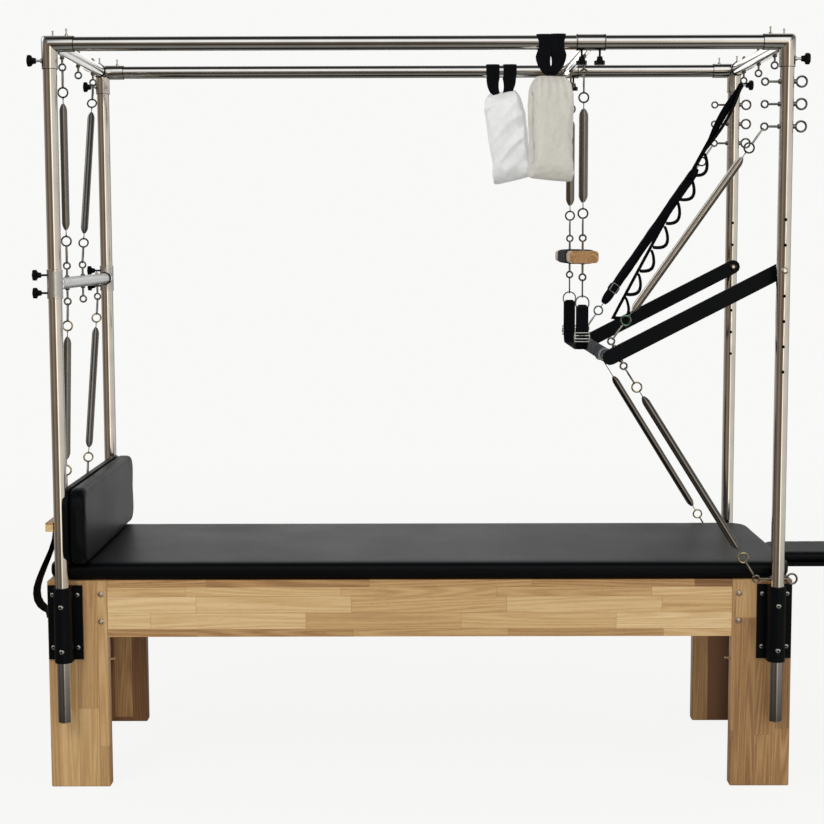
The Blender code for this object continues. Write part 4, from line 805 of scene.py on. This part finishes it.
plain_rings = (dark_ring, dark_ring)
for place, top_y, low_y, foot_y, hang_y in (("front", -EYE_Y, -EYE_Y, BOARD_EYES[0], -HANG_Y),
                                            ("rear", EYE_Y, 0.0, BOARD_EYES[1], HANG_Y)):
    spring("upper_left_spring_" + place, at(-POST_X, top_y, TOP_Z - EYE_DROP),
           at(-POST_X, low_y, MID_Z + MID_EYE_RISE), MID_BAR_SPRING, dark_spring, plain_rings,
           "frame", "mid_bar")
    spring("lower_left_spring_" + place, at(BOARD_EYE_X, foot_y, BOARD_EYE_Z),
           at(-POST_X, top_y, MID_Z - MID_EYE_DROP), MID_BAR_SPRING, dark_spring, (brass_ring, brass_ring),
           "frame", "mid_bar")
    spring("trapeze_spring_" + place, Vector((SLIDE_X, hang_y, TOP_Z - SLIDE_EYE_DROP)),
           Vector((SLIDE_X, hang_y, TRAPEZE_EYE_Z)), TRAPEZE_SPRING, dark_spring, plain_rings, "trapeze")

# Push bar: two flat bars, black powder coated, on shoulder bolts at the right posts, joined by a
# tube with a dark foam grip between pale collars. Two springs pull each arm up and two pull it down.

PIVOT, ARM_END = at(POST_X, 0.0, 1.435), at(0.520, 0.0, 1.200)
ARM_Y, ARM_HALF_WIDTH, ARM_EYE_INWARD, GRIP_HALF = 0.345, 0.021, 0.023, 0.23
arm_along = (PIVOT - ARM_END).normalized()
arm_up = Vector((-arm_along.z, 0.0, arm_along.x))
dress(powder_coat, "push_bar_frame")
push_parts = bmesh.new()
pivots = {"inner": bmesh.new(), "outer": bmesh.new()}


def arm_root(face):
    return ARM_END + Y * face * ARM_Y + arm_along * ARM_EYE_INWARD


def arm_eye(face, above):
    return arm_root(face) + arm_up * above * (ARM_HALF_WIDTH + 0.017)


for face in (-1, 1):
    for above in (-1, 1):
        eye = ring_points(arm_eye(face, above), arm_up, arm_along, EYE_RADIUS)
        tube_along(push_parts, eye, EYE_WIRE, 8, True, Y)
        turned(push_parts, arm_root(face) + arm_up * above * (ARM_HALF_WIDTH - 0.001), arm_up * above,
               [(0.0, 0.0058), (0.0045, 0.0060), (0.0050, 0.0034), (0.0095, 0.0032)], 12)
    button_head(pivots["inner"], PIVOT + Y * face * (ARM_Y - 0.0053), -Y * face, 0.0105, 0.0052)
    button_head(pivots["outer"], PIVOT + Y * face * (POST_Y + TUBE_RADIUS - 0.0005), Y * face, 0.0092, 0.0048)
made_piece("push_bar_eyes", push_parts, eye_steel, "push_bar")
made_piece("pivot_bolt_heads_inner", pivots["inner"], dark_ring, "frame")
made_piece("pivot_bolt_heads_outer", pivots["outer"], zinc, "frame")


def foam(name, colour):
    """Closed-cell foam: matt, with fine pores and a worn, lighter look in cloudy patches."""
    made, tree, shader = surface(name)
    place = own_place(tree)
    cells = put(tree, "TexVoronoi", {"Vector": place, "Scale": 620.0}).outputs["Distance"]
    worn = speckle(tree, place, (14.0, 14.0, 14.0), 3.0, 0.6)
    feed(tree, shader, {"Base Color": shades(tree, worn, colour, (0.3, 0.75), (0.75, 1.5)), "Roughness": 0.86,
                        "Normal": bumps(tree, cells, 0.5, 0.0006), "Sheen Weight": 0.04,
                        "Specular IOR Level": 0.25})
    return made


grip_foam = foam("grip_foam", (0.032, 0.038, 0.045))
black_foam = foam("black_foam", (0.006, 0.006, 0.0065))
grip = bmesh.new()
grip_profile = [(0.0, 0.0152), (0.0, 0.0172), (0.0015, 0.0184), (0.06, 0.0188), (0.23, 0.0192),
                (0.40, 0.0188), (0.4585, 0.0184), (0.46, 0.0172), (0.46, 0.0152)]
rim(grip, ARM_END - Y * GRIP_HALF, Y, grip_profile, 40)
push_grip = made_piece("push_bar_foam", grip, grip_foam, "push_bar")
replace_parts(push_grip, "push_bar_grip")
collars = bmesh.new()
for face in (-1, 1):
    rim(collars, ARM_END + Y * face * (GRIP_HALF + 0.0005), Y * face,
        [(0.0, 0.0152), (0.0, 0.0184), (0.0020, 0.0196), (0.0120, 0.0196), (0.0140, 0.0184),
         (0.0140, 0.0152)])
collar_plastic = moulded("grey_collar_plastic", (0.22, 0.235, 0.25), 0.45)
made_piece("push_bar_collars", collars, collar_plastic, "push_bar")


def post_eye(face, height):
    return at(POST_X - POST_EYE_REACH, face * POST_Y, height)


for place, face in (("front", -1), ("rear", 1)):
    spring("lower_push_spring_" + place, post_eye(face, LOW_EYE), arm_eye(face, -1), PUSH_SPRING,
           dark_spring, (brass_ring, brass_ring), "frame", "push_bar", (True, face < 0))
spring("upper_push_spring_front", post_eye(-1, HIGH_EYE), arm_eye(-1, 1), PUSH_SPRING,
       bright_spring, (dark_ring, green_ring), "frame", "push_bar")
covered_along, covered_start, covered_end = spring(
    "upper_push_spring_rear", post_eye(1, HIGH_EYE), arm_eye(1, 1), PUSH_SPRING,
    dark_spring, (dark_ring, green_ring), "frame", "push_bar")

# Covered spring: the upper rear spring runs in a black fabric sleeve, gathered at both ends and
# closed with a hook-and-loop tab and a small metal buckle near the push bar.


def build_weave_effect():
    """Crossing threads over a surface: a mask, a height and a slight shade; the shade is a cloudy tone plus
    painted shade, darker in the valleys between the threads.
    """
    group, given, out = effect("crossing_threads", [("Place", "Vector", None), ("Threads", "Float", 600.0)],
                               [("Shade", "Float"), ("Height", "Float")])
    place = put(group, "VectorMath", {0: given["Place"], 3: given["Threads"]}, operation="SCALE").outputs[0]
    xyz = put(group, "SeparateXYZ", {0: place}).outputs
    lengthwise = calc(group, "SINE", times(group, calc(group, "ADD", xyz[0], xyz[1]), math.pi))
    crosswise = calc(group, "SINE", times(group, calc(group, "SUBTRACT", xyz[2], xyz[1]), math.pi))
    height = madd(group, times(group, lengthwise, crosswise), 0.5, 0.5)
    cloud = speckle(group, given["Place"], (35.0, 35.0, 35.0), 3.0, 0.6)
    # Painted shade: the colour follows the thread height, darker between the threads and lighter on their
    # crowns.
    feed(group, out, {"Height": height, "Shade": madd(group, height, 0.35, cloud)})
    return group


weave_effect = build_weave_effect()


def woven(name, colour, threads, depth=0.0005, by="UV"):
    """Dull woven fabric or webbing; bands carry their own width and length as UV."""
    made, tree, shader = surface(name)
    cloth = put(tree, "Group", {"Place": put(tree, "TexCoord", {}).outputs[by], "Threads": threads},
                node_tree=weave_effect).outputs
    # The base colour carries the weave's painted shade between the threads.
    feed(tree, shader, {"Base Color": shades(tree, cloth["Shade"], colour, (0.2, 0.5), (0.9, 1.7)),
                        "Roughness": 0.74, "Normal": bumps(tree, cloth["Height"], 0.6, depth),
                        "Specular IOR Level": 0.14})
    return made


webbing = woven("black_webbing", (0.0022, 0.0025, 0.0038), 560.0)
sleeve_cloth = woven("sleeve_cloth", (0.0022, 0.0027, 0.0042), 900.0, 0.0003, "Object")


def sewn_sleeve(bm, start, along, length, radius):
    """A fabric tube with soft gathers that run along it, drawn in at both ends."""
    first, second = basis(along)
    steps, sides = 60, 28
    turns = [2 * math.pi * k / sides for k in range(sides)]
    rings = []
    for share in [i / steps for i in range(steps + 1)]:
        edge = min(share, 1 - share) * length
        size = radius * (0.55 + 0.45 * min(1.0, edge / 0.022) ** 0.5)
        spots = [Vector((math.cos(turn) * 2.2, math.sin(turn) * 2.2, share * 9.0)) for turn in turns]
        rings.append(circle(bm, start + along * length * share, first, second,
                            [size * (1.0 + 0.11 * noise.noise(spot) + 0.05 * noise.noise(spot * 3.1))
                             for spot in spots]))
    skin(bm, rings)


SLEEVE_OUTER, TAB_RADIUS = 0.0142, 0.0165
sleeve_bm = bmesh.new()
sewn_sleeve(sleeve_bm, covered_start - covered_along * 0.004, covered_along,
            (covered_end - covered_start).length + 0.008, SLEEVE_OUTER)
sleeve_piece = made_piece("spring_sleeve", sleeve_bm, sleeve_cloth, None, math.radians(80))


def ribbon(bm, rows, thickness, count=4):
    """A flat band through rows of left and right edge points, thinner at its woven edges."""
    uv = bm.loops.layers.uv.verify()
    layers = []
    place = {}
    travelled = 0.0
    for i, (left, right) in enumerate(rows):
        low, high = rows[max(i - 1, 0)], rows[min(i + 1, len(rows) - 1)]
        travel = (high[0] + high[1] - low[0] - low[1]).normalized()
        if i:
            travelled += ((left + right) / 2 - (rows[i - 1][0] + rows[i - 1][1]) / 2).length
        out = travel.cross(right - left).normalized() * (thickness / 2)
        layer = []
        for side, steps in ((1, range(count + 1)), (-1, range(count, -1, -1))):
            for k in steps:
                edge = 0.5 if k in (0, count) else 1.0
                vertex = bm.verts.new(left.lerp(right, k / count) + out * side * edge)
                place[vertex] = ((right - left).length * k / count, travelled)
                layer.append(vertex)
        layers.append(layer)
    for face in skin(bm, layers):
        for loop in face.loops:
            loop[uv].uv = place[loop.vert]


def band(bm, points, wide, width, thickness):
    ribbon(bm, [(p - wide * width / 2, p + wide * width / 2) for p in points], thickness)


tab_bm = bmesh.new()
tab_at = covered_end - covered_along * 0.052
tab_wide = (Y - covered_along * covered_along.dot(Y)).normalized()
tab_side = covered_along.cross(tab_wide)
band(tab_bm, [tab_at + (tab_side * math.cos(2 * math.pi * i / 24) + tab_wide * math.sin(2 * math.pi * i / 24))
              * TAB_RADIUS for i in range(25)], covered_along, 0.020, 0.0022)
tab = made_piece("sleeve_tab", tab_bm, webbing, None)
buckle_bm = bmesh.new()
buckle_at = tab_at - tab_wide * 0.0190
outline = [buckle_at + tab_side * a + covered_along * b for a, b in
           ((-0.009, -0.013), (0.009, -0.013), (0.011, -0.011), (0.011, 0.011), (0.009, 0.013),
            (-0.009, 0.013), (-0.011, 0.011), (-0.011, -0.011))]
tube_along(buckle_bm, outline, 0.0014, 8, True, tab_wide)
for cuff, size in ((covered_start + covered_along * 0.002, 0.0086),
                   (covered_end - covered_along * 0.018, 0.0092)):
    turned(buckle_bm, cuff, covered_along,
           [(0.0, size * 0.8), (0.001, size), (0.013, size * 1.06), (0.014, size * 0.9)], 20)
buckle = made_piece("sleeve_buckle", buckle_bm, zinc, None)
for piece in (sleeve_piece, tab, buckle):
    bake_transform(piece)

# Safety strap: flat black webbing from a ring of the right end tube to the rear arm of the push
# bar, with seven sewn loops along its lower two thirds to shorten it by.

SAFETY_WIDTH, SAFETY_THICKNESS, SAFETY_LOOPS, LOOP_DEPTH = 0.020, 0.0028, 7, 0.030
SCALLOP_TURN = math.radians(24)
safety_eye = at(POST_X, EYE_Y, TOP_Z - EYE_DROP)
safety_end = (ARM_END + Y * ARM_Y) + arm_along * 0.110 + arm_up * (ARM_HALF_WIDTH + 0.0055)
safety_run = (safety_end - safety_eye).normalized()
safety_start = safety_eye + safety_run * 0.0133
safety_flat = (Y - safety_run * safety_run.dot(Y)).normalized()
safety_side = safety_flat.cross(safety_run)
if safety_side.x < 0:
    safety_side = -safety_side
safety_length = (safety_end - safety_start).length
safety_bm = bmesh.new()


def strap_row(point, share):
    """Left and right edges; the strap turns from nearly face on at its top to mostly edge on."""
    turn = math.radians(62 - 30 * min(1.0, share * 2.2))
    wide = (safety_flat * math.cos(turn) + safety_side * math.sin(turn)) * SAFETY_WIDTH / 2
    return point - wide, point + wide


slack = [safety_start + safety_run * safety_length * i / 60
         - safety_side * 0.004 * math.sin(math.pi * i / 60) for i in range(61)]
ribbon(safety_bm, [strap_row(p, i / 60) for i, p in enumerate(slack)], SAFETY_THICKNESS)
plain = safety_length * 0.28
pitch = (safety_length - plain) / SAFETY_LOOPS
for i in range(SAFETY_LOOPS):
    points = []
    for j in range(25):
        share = j / 24
        bulge = LOOP_DEPTH * math.sin(math.pi * share) ** 0.8 * (1.0 + 0.10 * math.sin(i * 2.4))
        lean = 0.10 * pitch * math.sin(math.pi * share)
        points.append(safety_start + safety_run * (plain + pitch * (i + 0.05 + 0.88 * share) + lean)
                      + safety_side * (bulge + 0.0022))
    rows = []
    for j, p in enumerate(points):
        travel = (points[min(j + 1, 24)] - points[max(j - 1, 0)]).normalized()
        wide = (safety_flat * math.cos(SCALLOP_TURN) + safety_flat.cross(travel) * math.sin(SCALLOP_TURN))
        rows.append((p - wide * SAFETY_WIDTH * 0.45, p + wide * SAFETY_WIDTH * 0.45))
    ribbon(safety_bm, rows, SAFETY_THICKNESS * 0.8)
for sign in (-1, 1):
    fold = [safety_start + safety_run * (safety_length * 0.27 * i / 24 - 0.004)
            + safety_side * sign * 0.012 * math.sin(math.pi * i / 24) for i in range(25)]
    ribbon(safety_bm, [strap_row(p, 0.8) for p in fold], SAFETY_THICKNESS * 0.8)
safety_strap = made_piece("safety_webbing", safety_bm, webbing, None)
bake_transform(safety_strap)
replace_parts(safety_strap, "safety_strap")

# Trapeze: a flat bar of pale wood with rounded edges and a black foam grip round its middle, on
# two springs. Below it hangs a sling of black webbing on snap links and D-rings.

BAR_Z, BAR_WIDTH, BAR_THICKNESS = 1.4715, 0.079, 0.034
SLING_WIDTH, SLING_BOTTOM, SLING_BEND, GRIP_SIDES = 0.035, 1.210, 0.04, 48
# heights of the bar, its upper and lower eyes, the snap links, the D-rings and the sliders
HANGING_ROW = (BAR_Z, TRAPEZE_EYE_Z, 1.415, 1.3835, 1.345, 1.247)


def along_the_bar(tree, x, y, z):
    return y, calc(tree, "ADD", z, 0.02), x


dress(laminated("trapeze_wood", along_the_bar, 2.0, 0.2, 0.13), "trapeze_bar")
foam_bm = bmesh.new()
rings = []
for share in [i / 30 for i in range(31)]:
    swell = 0.0036 * min(1.0, min(share, 1 - share) / 0.012 * 0.6 + 0.4)
    ring = []
    for k in range(GRIP_SIDES):
        c, s = [math.copysign(abs(part) ** 0.42, part) for part in (math.cos(2 * math.pi * k / GRIP_SIDES),
                                                                    math.sin(2 * math.pi * k / GRIP_SIDES))]
        ring.append(foam_bm.verts.new((SLIDE_X + c * (BAR_WIDTH / 2 + swell), -0.13 + 0.26 * share,
                                       BAR_Z + s * (BAR_THICKNESS / 2 + swell))))
    rings.append(ring)
skin(foam_bm, rings)
trapeze_foam = made_piece("trapeze_foam", foam_bm, black_foam, "trapeze")
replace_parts(trapeze_foam, "trapeze_grip")
trapeze_eyes, sling_metal, slider_bm, sling_bm = bmesh.new(), bmesh.new(), bmesh.new(), bmesh.new()
for face in (-1, 1):
    root, upper, lower, snap, d_ring, slider = [Vector((SLIDE_X, HANG_Y * face, z)) for z in HANGING_ROW]
    for up, eye in ((1, upper), (-1, lower)):
        eyebolt(trapeze_eyes, root, eye, BAR_THICKNESS / 2)
        turned(trapeze_eyes, root + Z * up * (BAR_THICKNESS / 2 - 0.0005), Z * up,
               [(0.0, 0.0085), (0.0014, 0.0085), (0.0016, 0.0035)], 20)
    tube_along(sling_metal, ring_points(snap, Y, Z, 0.0062, 24, 0.0185), 0.0017, 8, True, X)
    outline = [(0.0185 * math.cos(math.pi * i / 16), 0.0175 * math.sin(math.pi * i / 16)) for i in range(17)]
    outline += [(-0.0185, -0.007), (-0.0165, -0.0110), (-0.013, -0.0120),
                (0.013, -0.0120), (0.0165, -0.0110), (0.0185, -0.007)]
    tube_along(sling_metal, [d_ring + X * a + Z * b for a, b in outline], 0.0019, 8, True, Y)
    outline = [slider + X * a + Z * b for a, b in ((-0.0205, -0.0125), (0.0205, -0.0125), (0.0205, 0.0),
                                                   (0.0205, 0.0125), (-0.0205, 0.0125), (-0.0205, 0.0))]
    tube_along(slider_bm, outline, 0.0023, 10, True, Y)
    for shift in (-0.0045, 0.0045):
        tube_along(slider_bm, [slider - X * 0.0205 + Z * shift, slider + X * 0.0205 + Z * shift], 0.0018, 8)
made_piece("trapeze_eyebolts", trapeze_eyes, eye_steel, "trapeze")
made_piece("sling_snaps", sling_metal, eye_steel, "sling")
made_piece("sling_sliders", slider_bm, zinc, "sling")
half = [Vector((SLIDE_X, HANG_Y, 1.333 - 0.081 * i / 6)) for i in range(6)]
half += [Vector((SLIDE_X, HANG_Y - SLING_BEND * (1 - math.cos(math.pi / 16 * i)),
                 SLING_BOTTOM + 0.042 - SLING_BEND * math.sin(math.pi / 16 * i))) for i in range(9)]
half += [Vector((SLIDE_X, (HANG_Y - SLING_BEND) * (8 - i) / 8, SLING_BOTTOM + 0.002)) for i in range(1, 9)]
whole = half + [Vector((p.x, -p.y, p.z)) for p in reversed(half[:-1])]
band(sling_bm, whole, X, SLING_WIDTH, 0.0032)
for face in (1, -1):
    inner = [p - Y * face * 0.0042 for p in whole if p.z > 1.240 and p.y * face > 0.0042]
    band(sling_bm, inner, X, SLING_WIDTH * 0.98, 0.0028)
    bar = Vector((SLIDE_X, HANG_Y * face, 1.3335))
    band(sling_bm, [bar + (Y * math.cos(math.pi * i / 10) + Z * math.sin(math.pi * i / 10)) * 0.0040
                    for i in range(11)], X, 0.0245, 0.0024)
sling_piece = made_piece("sling_webbing", sling_bm, webbing, "sling")
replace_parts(sling_piece, "sling")

# Upholstery: foam pads under black leatherette, stretched over and stapled below, with soft
# rounded edges: the mattress, the back pad between the left posts and the small end pad.


def leatherette(name, colour, roughness):
    """Coated fabric: rounded grain cells with creases between them, and a faint mottled gloss."""
    made, tree, shader = surface(name)
    place = own_place(tree)
    sway = put(tree, "TexNoise", {"Vector": place, "Scale": 90.0}).outputs[1]
    warp = put(tree, "VectorMath", {0: place, 1: scaled(tree, sway, (0.004, 0.004, 0.004))},
               operation="ADD").outputs[0]
    cells = put(tree, "TexVoronoi", {"Vector": warp, "Scale": 480.0}, feature="DISTANCE_TO_EDGE").outputs[0]
    grain = ramp(tree, cells, [(0.0, 0.0), (0.16, 0.85), (0.5, 1.0)])
    cloud = speckle(tree, place, (3.2, 3.2, 3.2), 4.0, 0.6)
    feed(tree, shader, {"Base Color": shades(tree, cloud, colour, (0.25, 0.85), (0.75, 1.2)),
                        "Roughness": madd(tree, cloud, 0.14, roughness - 0.07),
                        "Normal": bumps(tree, grain, 0.30, 0.0003), "Specular IOR Level": 0.16})
    return made


black_leather = leatherette("black_leatherette", (0.0012, 0.0018, 0.0025), 0.40)


def source_mesh(node):
    """The carried-over shape, welded."""
    bm = bmesh.new()
    bm.from_mesh(nodes[node].data)
    bmesh.ops.remove_doubles(bm, verts=bm.verts, dist=0.00002)
    return bm


def evaluated(item):
    graph = bpy.context.evaluated_depsgraph_get()
    return bpy.data.meshes.new_from_object(item.evaluated_get(graph), depsgraph=graph)


def rounded_off(mesh, times):
    """Evens out a mesh by moving each vertex half way to its neighbours."""
    bm = bmesh.new()
    bm.from_mesh(mesh)
    for i in range(times):
        bmesh.ops.smooth_vert(bm, verts=bm.verts, factor=0.5, use_axis_x=True, use_axis_y=True,
                              use_axis_z=True)
    bm.to_mesh(mesh)
    bm.free()


def stuffed(name, bm, voxel, cap, pressure, relax):
    """Stuffed fabric: the shape gets an even mesh and swells under pressure, up to cap."""
    mesh = bpy.data.meshes.new(name)
    bm.to_mesh(mesh)
    bm.free()
    item = new_object(name, mesh)
    remesh = item.modifiers.new("even", "REMESH")
    remesh.mode, remesh.voxel_size = "VOXEL", voxel
    even = evaluated(item)
    item.modifiers.clear()
    item.data = even
    rounded_off(even, relax)
    rest = [v.co.copy() for v in even.vertices]
    cloth = item.modifiers.new("cloth", "CLOTH")
    settings = cloth.settings
    settings.quality, settings.mass = 4, 0.3
    settings.tension_stiffness = settings.compression_stiffness = 20.0
    settings.shear_stiffness, settings.bending_stiffness = 8.0, 1.2
    settings.use_pressure, settings.uniform_pressure_force = True, pressure
    settings.effector_weights.gravity = 0.0
    cloth.collision_settings.use_collision = False
    cloth.point_cache.frame_start, cloth.point_cache.frame_end = 1, 20
    for moment in range(1, 21):
        bpy.context.scene.frame_set(moment)
    swollen = evaluated(item)
    for vertex, was in zip(swollen.vertices, rest):
        move = vertex.co - was
        if move.length > cap:
            vertex.co = was + move * (cap / move.length)
    item.modifiers.clear()
    item.data = swollen
    bpy.context.scene.frame_set(1)
    rounded_off(swollen, relax)
    return item


def finish_pad(item, material, body, node):
    finer = item.modifiers.new("finer", "SUBSURF")
    finer.levels = finer.render_levels = 1
    item.data.materials.clear()
    item.data.materials.append(material)
    item.data.shade_smooth()
    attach(item, body)
    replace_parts(item, node)


for node, voxel, cap, pressure in (("mattress", 0.008, 0.0018, 3.0), ("back_pad", 0.0045, 0.0014, 3.0),
                                   ("extension_pad", 0.004, 0.0014, 3.0)):
    pad = stuffed(node + "_cover", source_mesh(node), voxel, cap, pressure, 1)
    finish_pad(pad, black_leather, "frame", node)
dress(black_leather, "back_board")
dress(powder_coat, "extension_board")

# Back board and clamp rail: a painted board behind the pad, held to the posts by a wooden rail
# outside them on two carriage bolts. Two eyes at its back hold the lower left springs.

board_parts = bmesh.new()
for y in BOARD_EYES:
    eye = at(BOARD_EYE_X, y, BOARD_EYE_Z)
    eyebolt(board_parts, eye + X * 0.030, eye, 0.0)
    turned(board_parts, eye + X * 0.0165, -X, [(0.0, 0.0070), (0.0030, 0.0070), (0.0034, 0.0034)], 16)
for face in (-1, 1):
    button_head(board_parts, at(-1.0203, face * 0.335, 0.742), -X, 0.0078, 0.0046)
made_piece("board_hardware", board_parts, zinc, "frame")

# End strap: a loop of wide black webbing that hangs from the clamp rail and bows out at the leg.

END_STRAP_WIDTH, END_STRAP_TWIST, END_STRAP_Y = 0.045, math.radians(-14), -0.318
strap_bm = bmesh.new()
bow = [(-1.0095, 0.7297), (-1.0095, 0.719), (-1.0110, 0.700), (-1.0200, 0.670), (-1.0330, 0.640),
       (-1.0460, 0.610), (-1.0560, 0.585), (-1.0620, 0.565), (-1.0640, 0.548), (-1.0620, 0.530),
       (-1.0540, 0.514), (-1.0430, 0.504), (-1.0335, 0.498), (-1.0323, 0.490), (-1.0323, 0.480)]
bow = [at(x, END_STRAP_Y, z) for x, z in bow]
points = [a.lerp(b, i / 3) for a, b in zip(bow, bow[1:]) for i in range(3)] + bow[-1:]
rows = []
for i, p in enumerate(points):
    travel = (points[min(i + 1, len(points) - 1)] - points[max(i - 1, 0)]).normalized()
    turn = END_STRAP_TWIST * math.sin(math.pi * i / (len(points) - 1))
    wide = (Y * math.cos(turn) + Y.cross(travel) * math.sin(turn)) * END_STRAP_WIDTH / 2
    rows.append((p - wide, p + wide))
ribbon(strap_bm, rows, 0.0034)
end_strap = made_piece("end_strap_webbing", strap_bm, webbing, "frame")
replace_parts(end_strap, "end_strap")

# Hanging loops: a padded loop of white fleece on black webbing that wraps over the long tube. The
# front loop hangs straight and turned a little, the rear one leans and is more wrinkled.

HINGE_Z, LOOP_LENGTH, HANGER_THICKNESS = 1.995, 0.270, 0.0026
# body, tube side, middle, top, lean, turn, webbing spread, width share
LOOPS = [("front", -1, CENTRE_X + 0.3525, 1.944, 0.0, 15.0, 0.0, 0.92),
         ("rear", 1, CENTRE_X + 0.2580, 1.969, -8.0, -14.0, 1.0, 1.0)]


def fleece(name, colour):
    """Brushed cotton fleece: short matt pile in small tufts over a soft, uneven ground, with painted shade
    that darkens the colour between the tufts and in the low ground.
    """
    made, tree, shader = surface(name)
    place = own_place(tree)
    tufts = put(tree, "TexVoronoi", {"Vector": place, "Scale": 330.0}, feature="SMOOTH_F1").outputs[0]
    pile = speckle(tree, place, (520.0, 520.0, 520.0), 4.0, 0.7)
    ground = speckle(tree, place, (38.0, 38.0, 38.0), 4.0, 0.6)
    height = calc(tree, "ADD", times(tree, tufts, -1.0), madd(tree, ground, 1.4, pile))
    # Painted shade: the colour darkens between the tufts and where the ground noise is low, as in the pile's
    # crevices.
    shade = madd(tree, tufts, -0.35, madd(tree, ground, 0.5, 0.45))
    feed(tree, shader, {"Base Color": shades(tree, shade, colour, (0.15, 0.82), (0.65, 1.05)),
                        "Roughness": 0.95, "Normal": bumps(tree, height, 0.55, 0.0016), "Sheen Weight": 0.35,
                        "Sheen Roughness": 0.6, "Specular IOR Level": 0.15, "Subsurface Weight": 0.10,
                        "Subsurface Radius": (0.006, 0.005, 0.004)})
    return made


fleece_shades = {"front": fleece("cream_fleece", (0.60, 0.58, 0.515)),
                 "rear": fleece("white_fleece", (0.90, 0.91, 0.89))}
for place, face, middle_x, top, lean, turn, spread, narrow in LOOPS:
    node = place + "_loop_fleece"
    centre = Vector((middle_x, face * POST_Y, top - LOOP_LENGTH / 2))
    source = source_mesh(node)
    for vertex in source.verts:
        if vertex.co.z > top + 0.0005:
            vertex.co.z = top - 0.004
    loop_piece = stuffed(node + "_pile", source, 0.0045, 0.006, 5.0, 3)
    hang = Vector((middle_x, face * POST_Y, HINGE_Z))
    tilt = Matrix.Rotation(math.radians(lean), 3, "Y") @ Matrix.Rotation(math.radians(turn), 3, "Z")
    for vertex in loop_piece.data.vertices:
        p = vertex.co - centre
        up = p.z / LOOP_LENGTH + 0.5
        edge = 0.0016 * noise.noise(Vector((p.x * 60, p.y * 60, p.z * 60)))
        slope = p.z * 0.86 - p.x * 0.50 * (1 if spread else -1)
        wave = noise.noise(Vector((p.x * 9 + 3.1 * face, p.y * 6, slope * (23 if spread else 12))))
        crease = (0.18 - abs(wave)) * 2.0 if spread else wave
        fold = (0.0030 + 0.0085 * spread) * crease
        fold += 0.0030 * math.cos(p.x * 2 * math.pi / 0.027) * max(0.0, (up - 0.70) / 0.30) * (1 - spread)
        shoulder = 1.0 - 0.34 * (max(0.0, up - 0.72) / 0.28) ** 1.6
        p.x *= narrow * shoulder * (1.0 + 0.03 * math.sin(p.z * 24))
        p.y += (edge + fold) * (1 if p.y > 0 else -1)
        p.x += edge
        p.z += 0.012 * max(0.0, up - 0.5) * 2.0
        if up < 0.12:
            p.z += 0.010 * (p.x / 0.06) * (-0.45 if face < 0 else 0.55)
        vertex.co = hang + tilt @ (centre + p - hang)
    finish_pad(loop_piece, fleece_shades[place], place + "_loop", node)
    webs = bmesh.new()
    gap = 0.0185 + 0.0080 * spread
    drop = [(HINGE_Z - 0.040 + 0.004 * i, i / 18) for i in range(19)]
    path = [(height, -1, share) for height, share in drop]
    path += [(math.radians(angle), 0, 1.0) for angle in range(0, 181, 12)]
    path += [(height, 1, share) for height, share in reversed(drop)]
    for side in (-1, 1):
        rows = []
        reach = TUBE_RADIUS + 0.0024 + 0.0008 * (side + 1) / 2 * (1 - spread)
        for value, where, share in path:
            if where:
                y, z = where * (0.0035 + (reach - 0.0035) * min(1.0, share ** 0.7 * 1.15)), value
                flare = 1.0 - (1 - spread) * (0.14 - 0.20 * min(1.0, (1.0 - share) / 0.3))
            else:
                y, z = -reach * math.cos(value), TOP_Z + reach * math.sin(value)
                flare = 1.0 - (1 - spread) * 0.14 * (1.0 - math.sin(value))
            out_x = gap * (0.10 + 0.90 * share ** 0.6) + 0.006 * math.sin(math.pi * min(1.0, share * 1.1))
            twist = side * (1.0 - share) * 0.5
            wide = X * math.cos(twist) + Y * math.sin(twist) * (where or 1)
            wide *= 0.0205 * (0.60 + 0.40 * share) * flare
            spot = Vector((middle_x + side * out_x * flare, face * POST_Y + y, z))
            rows.append((spot - wide, spot + wide))
        ribbon(webs, rows, HANGER_THICKNESS)
    web = made_piece(place + "_hanger_webbing", webs, webbing, None, math.radians(60))
    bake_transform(web)
    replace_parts(web, place + "_loop_hanger")
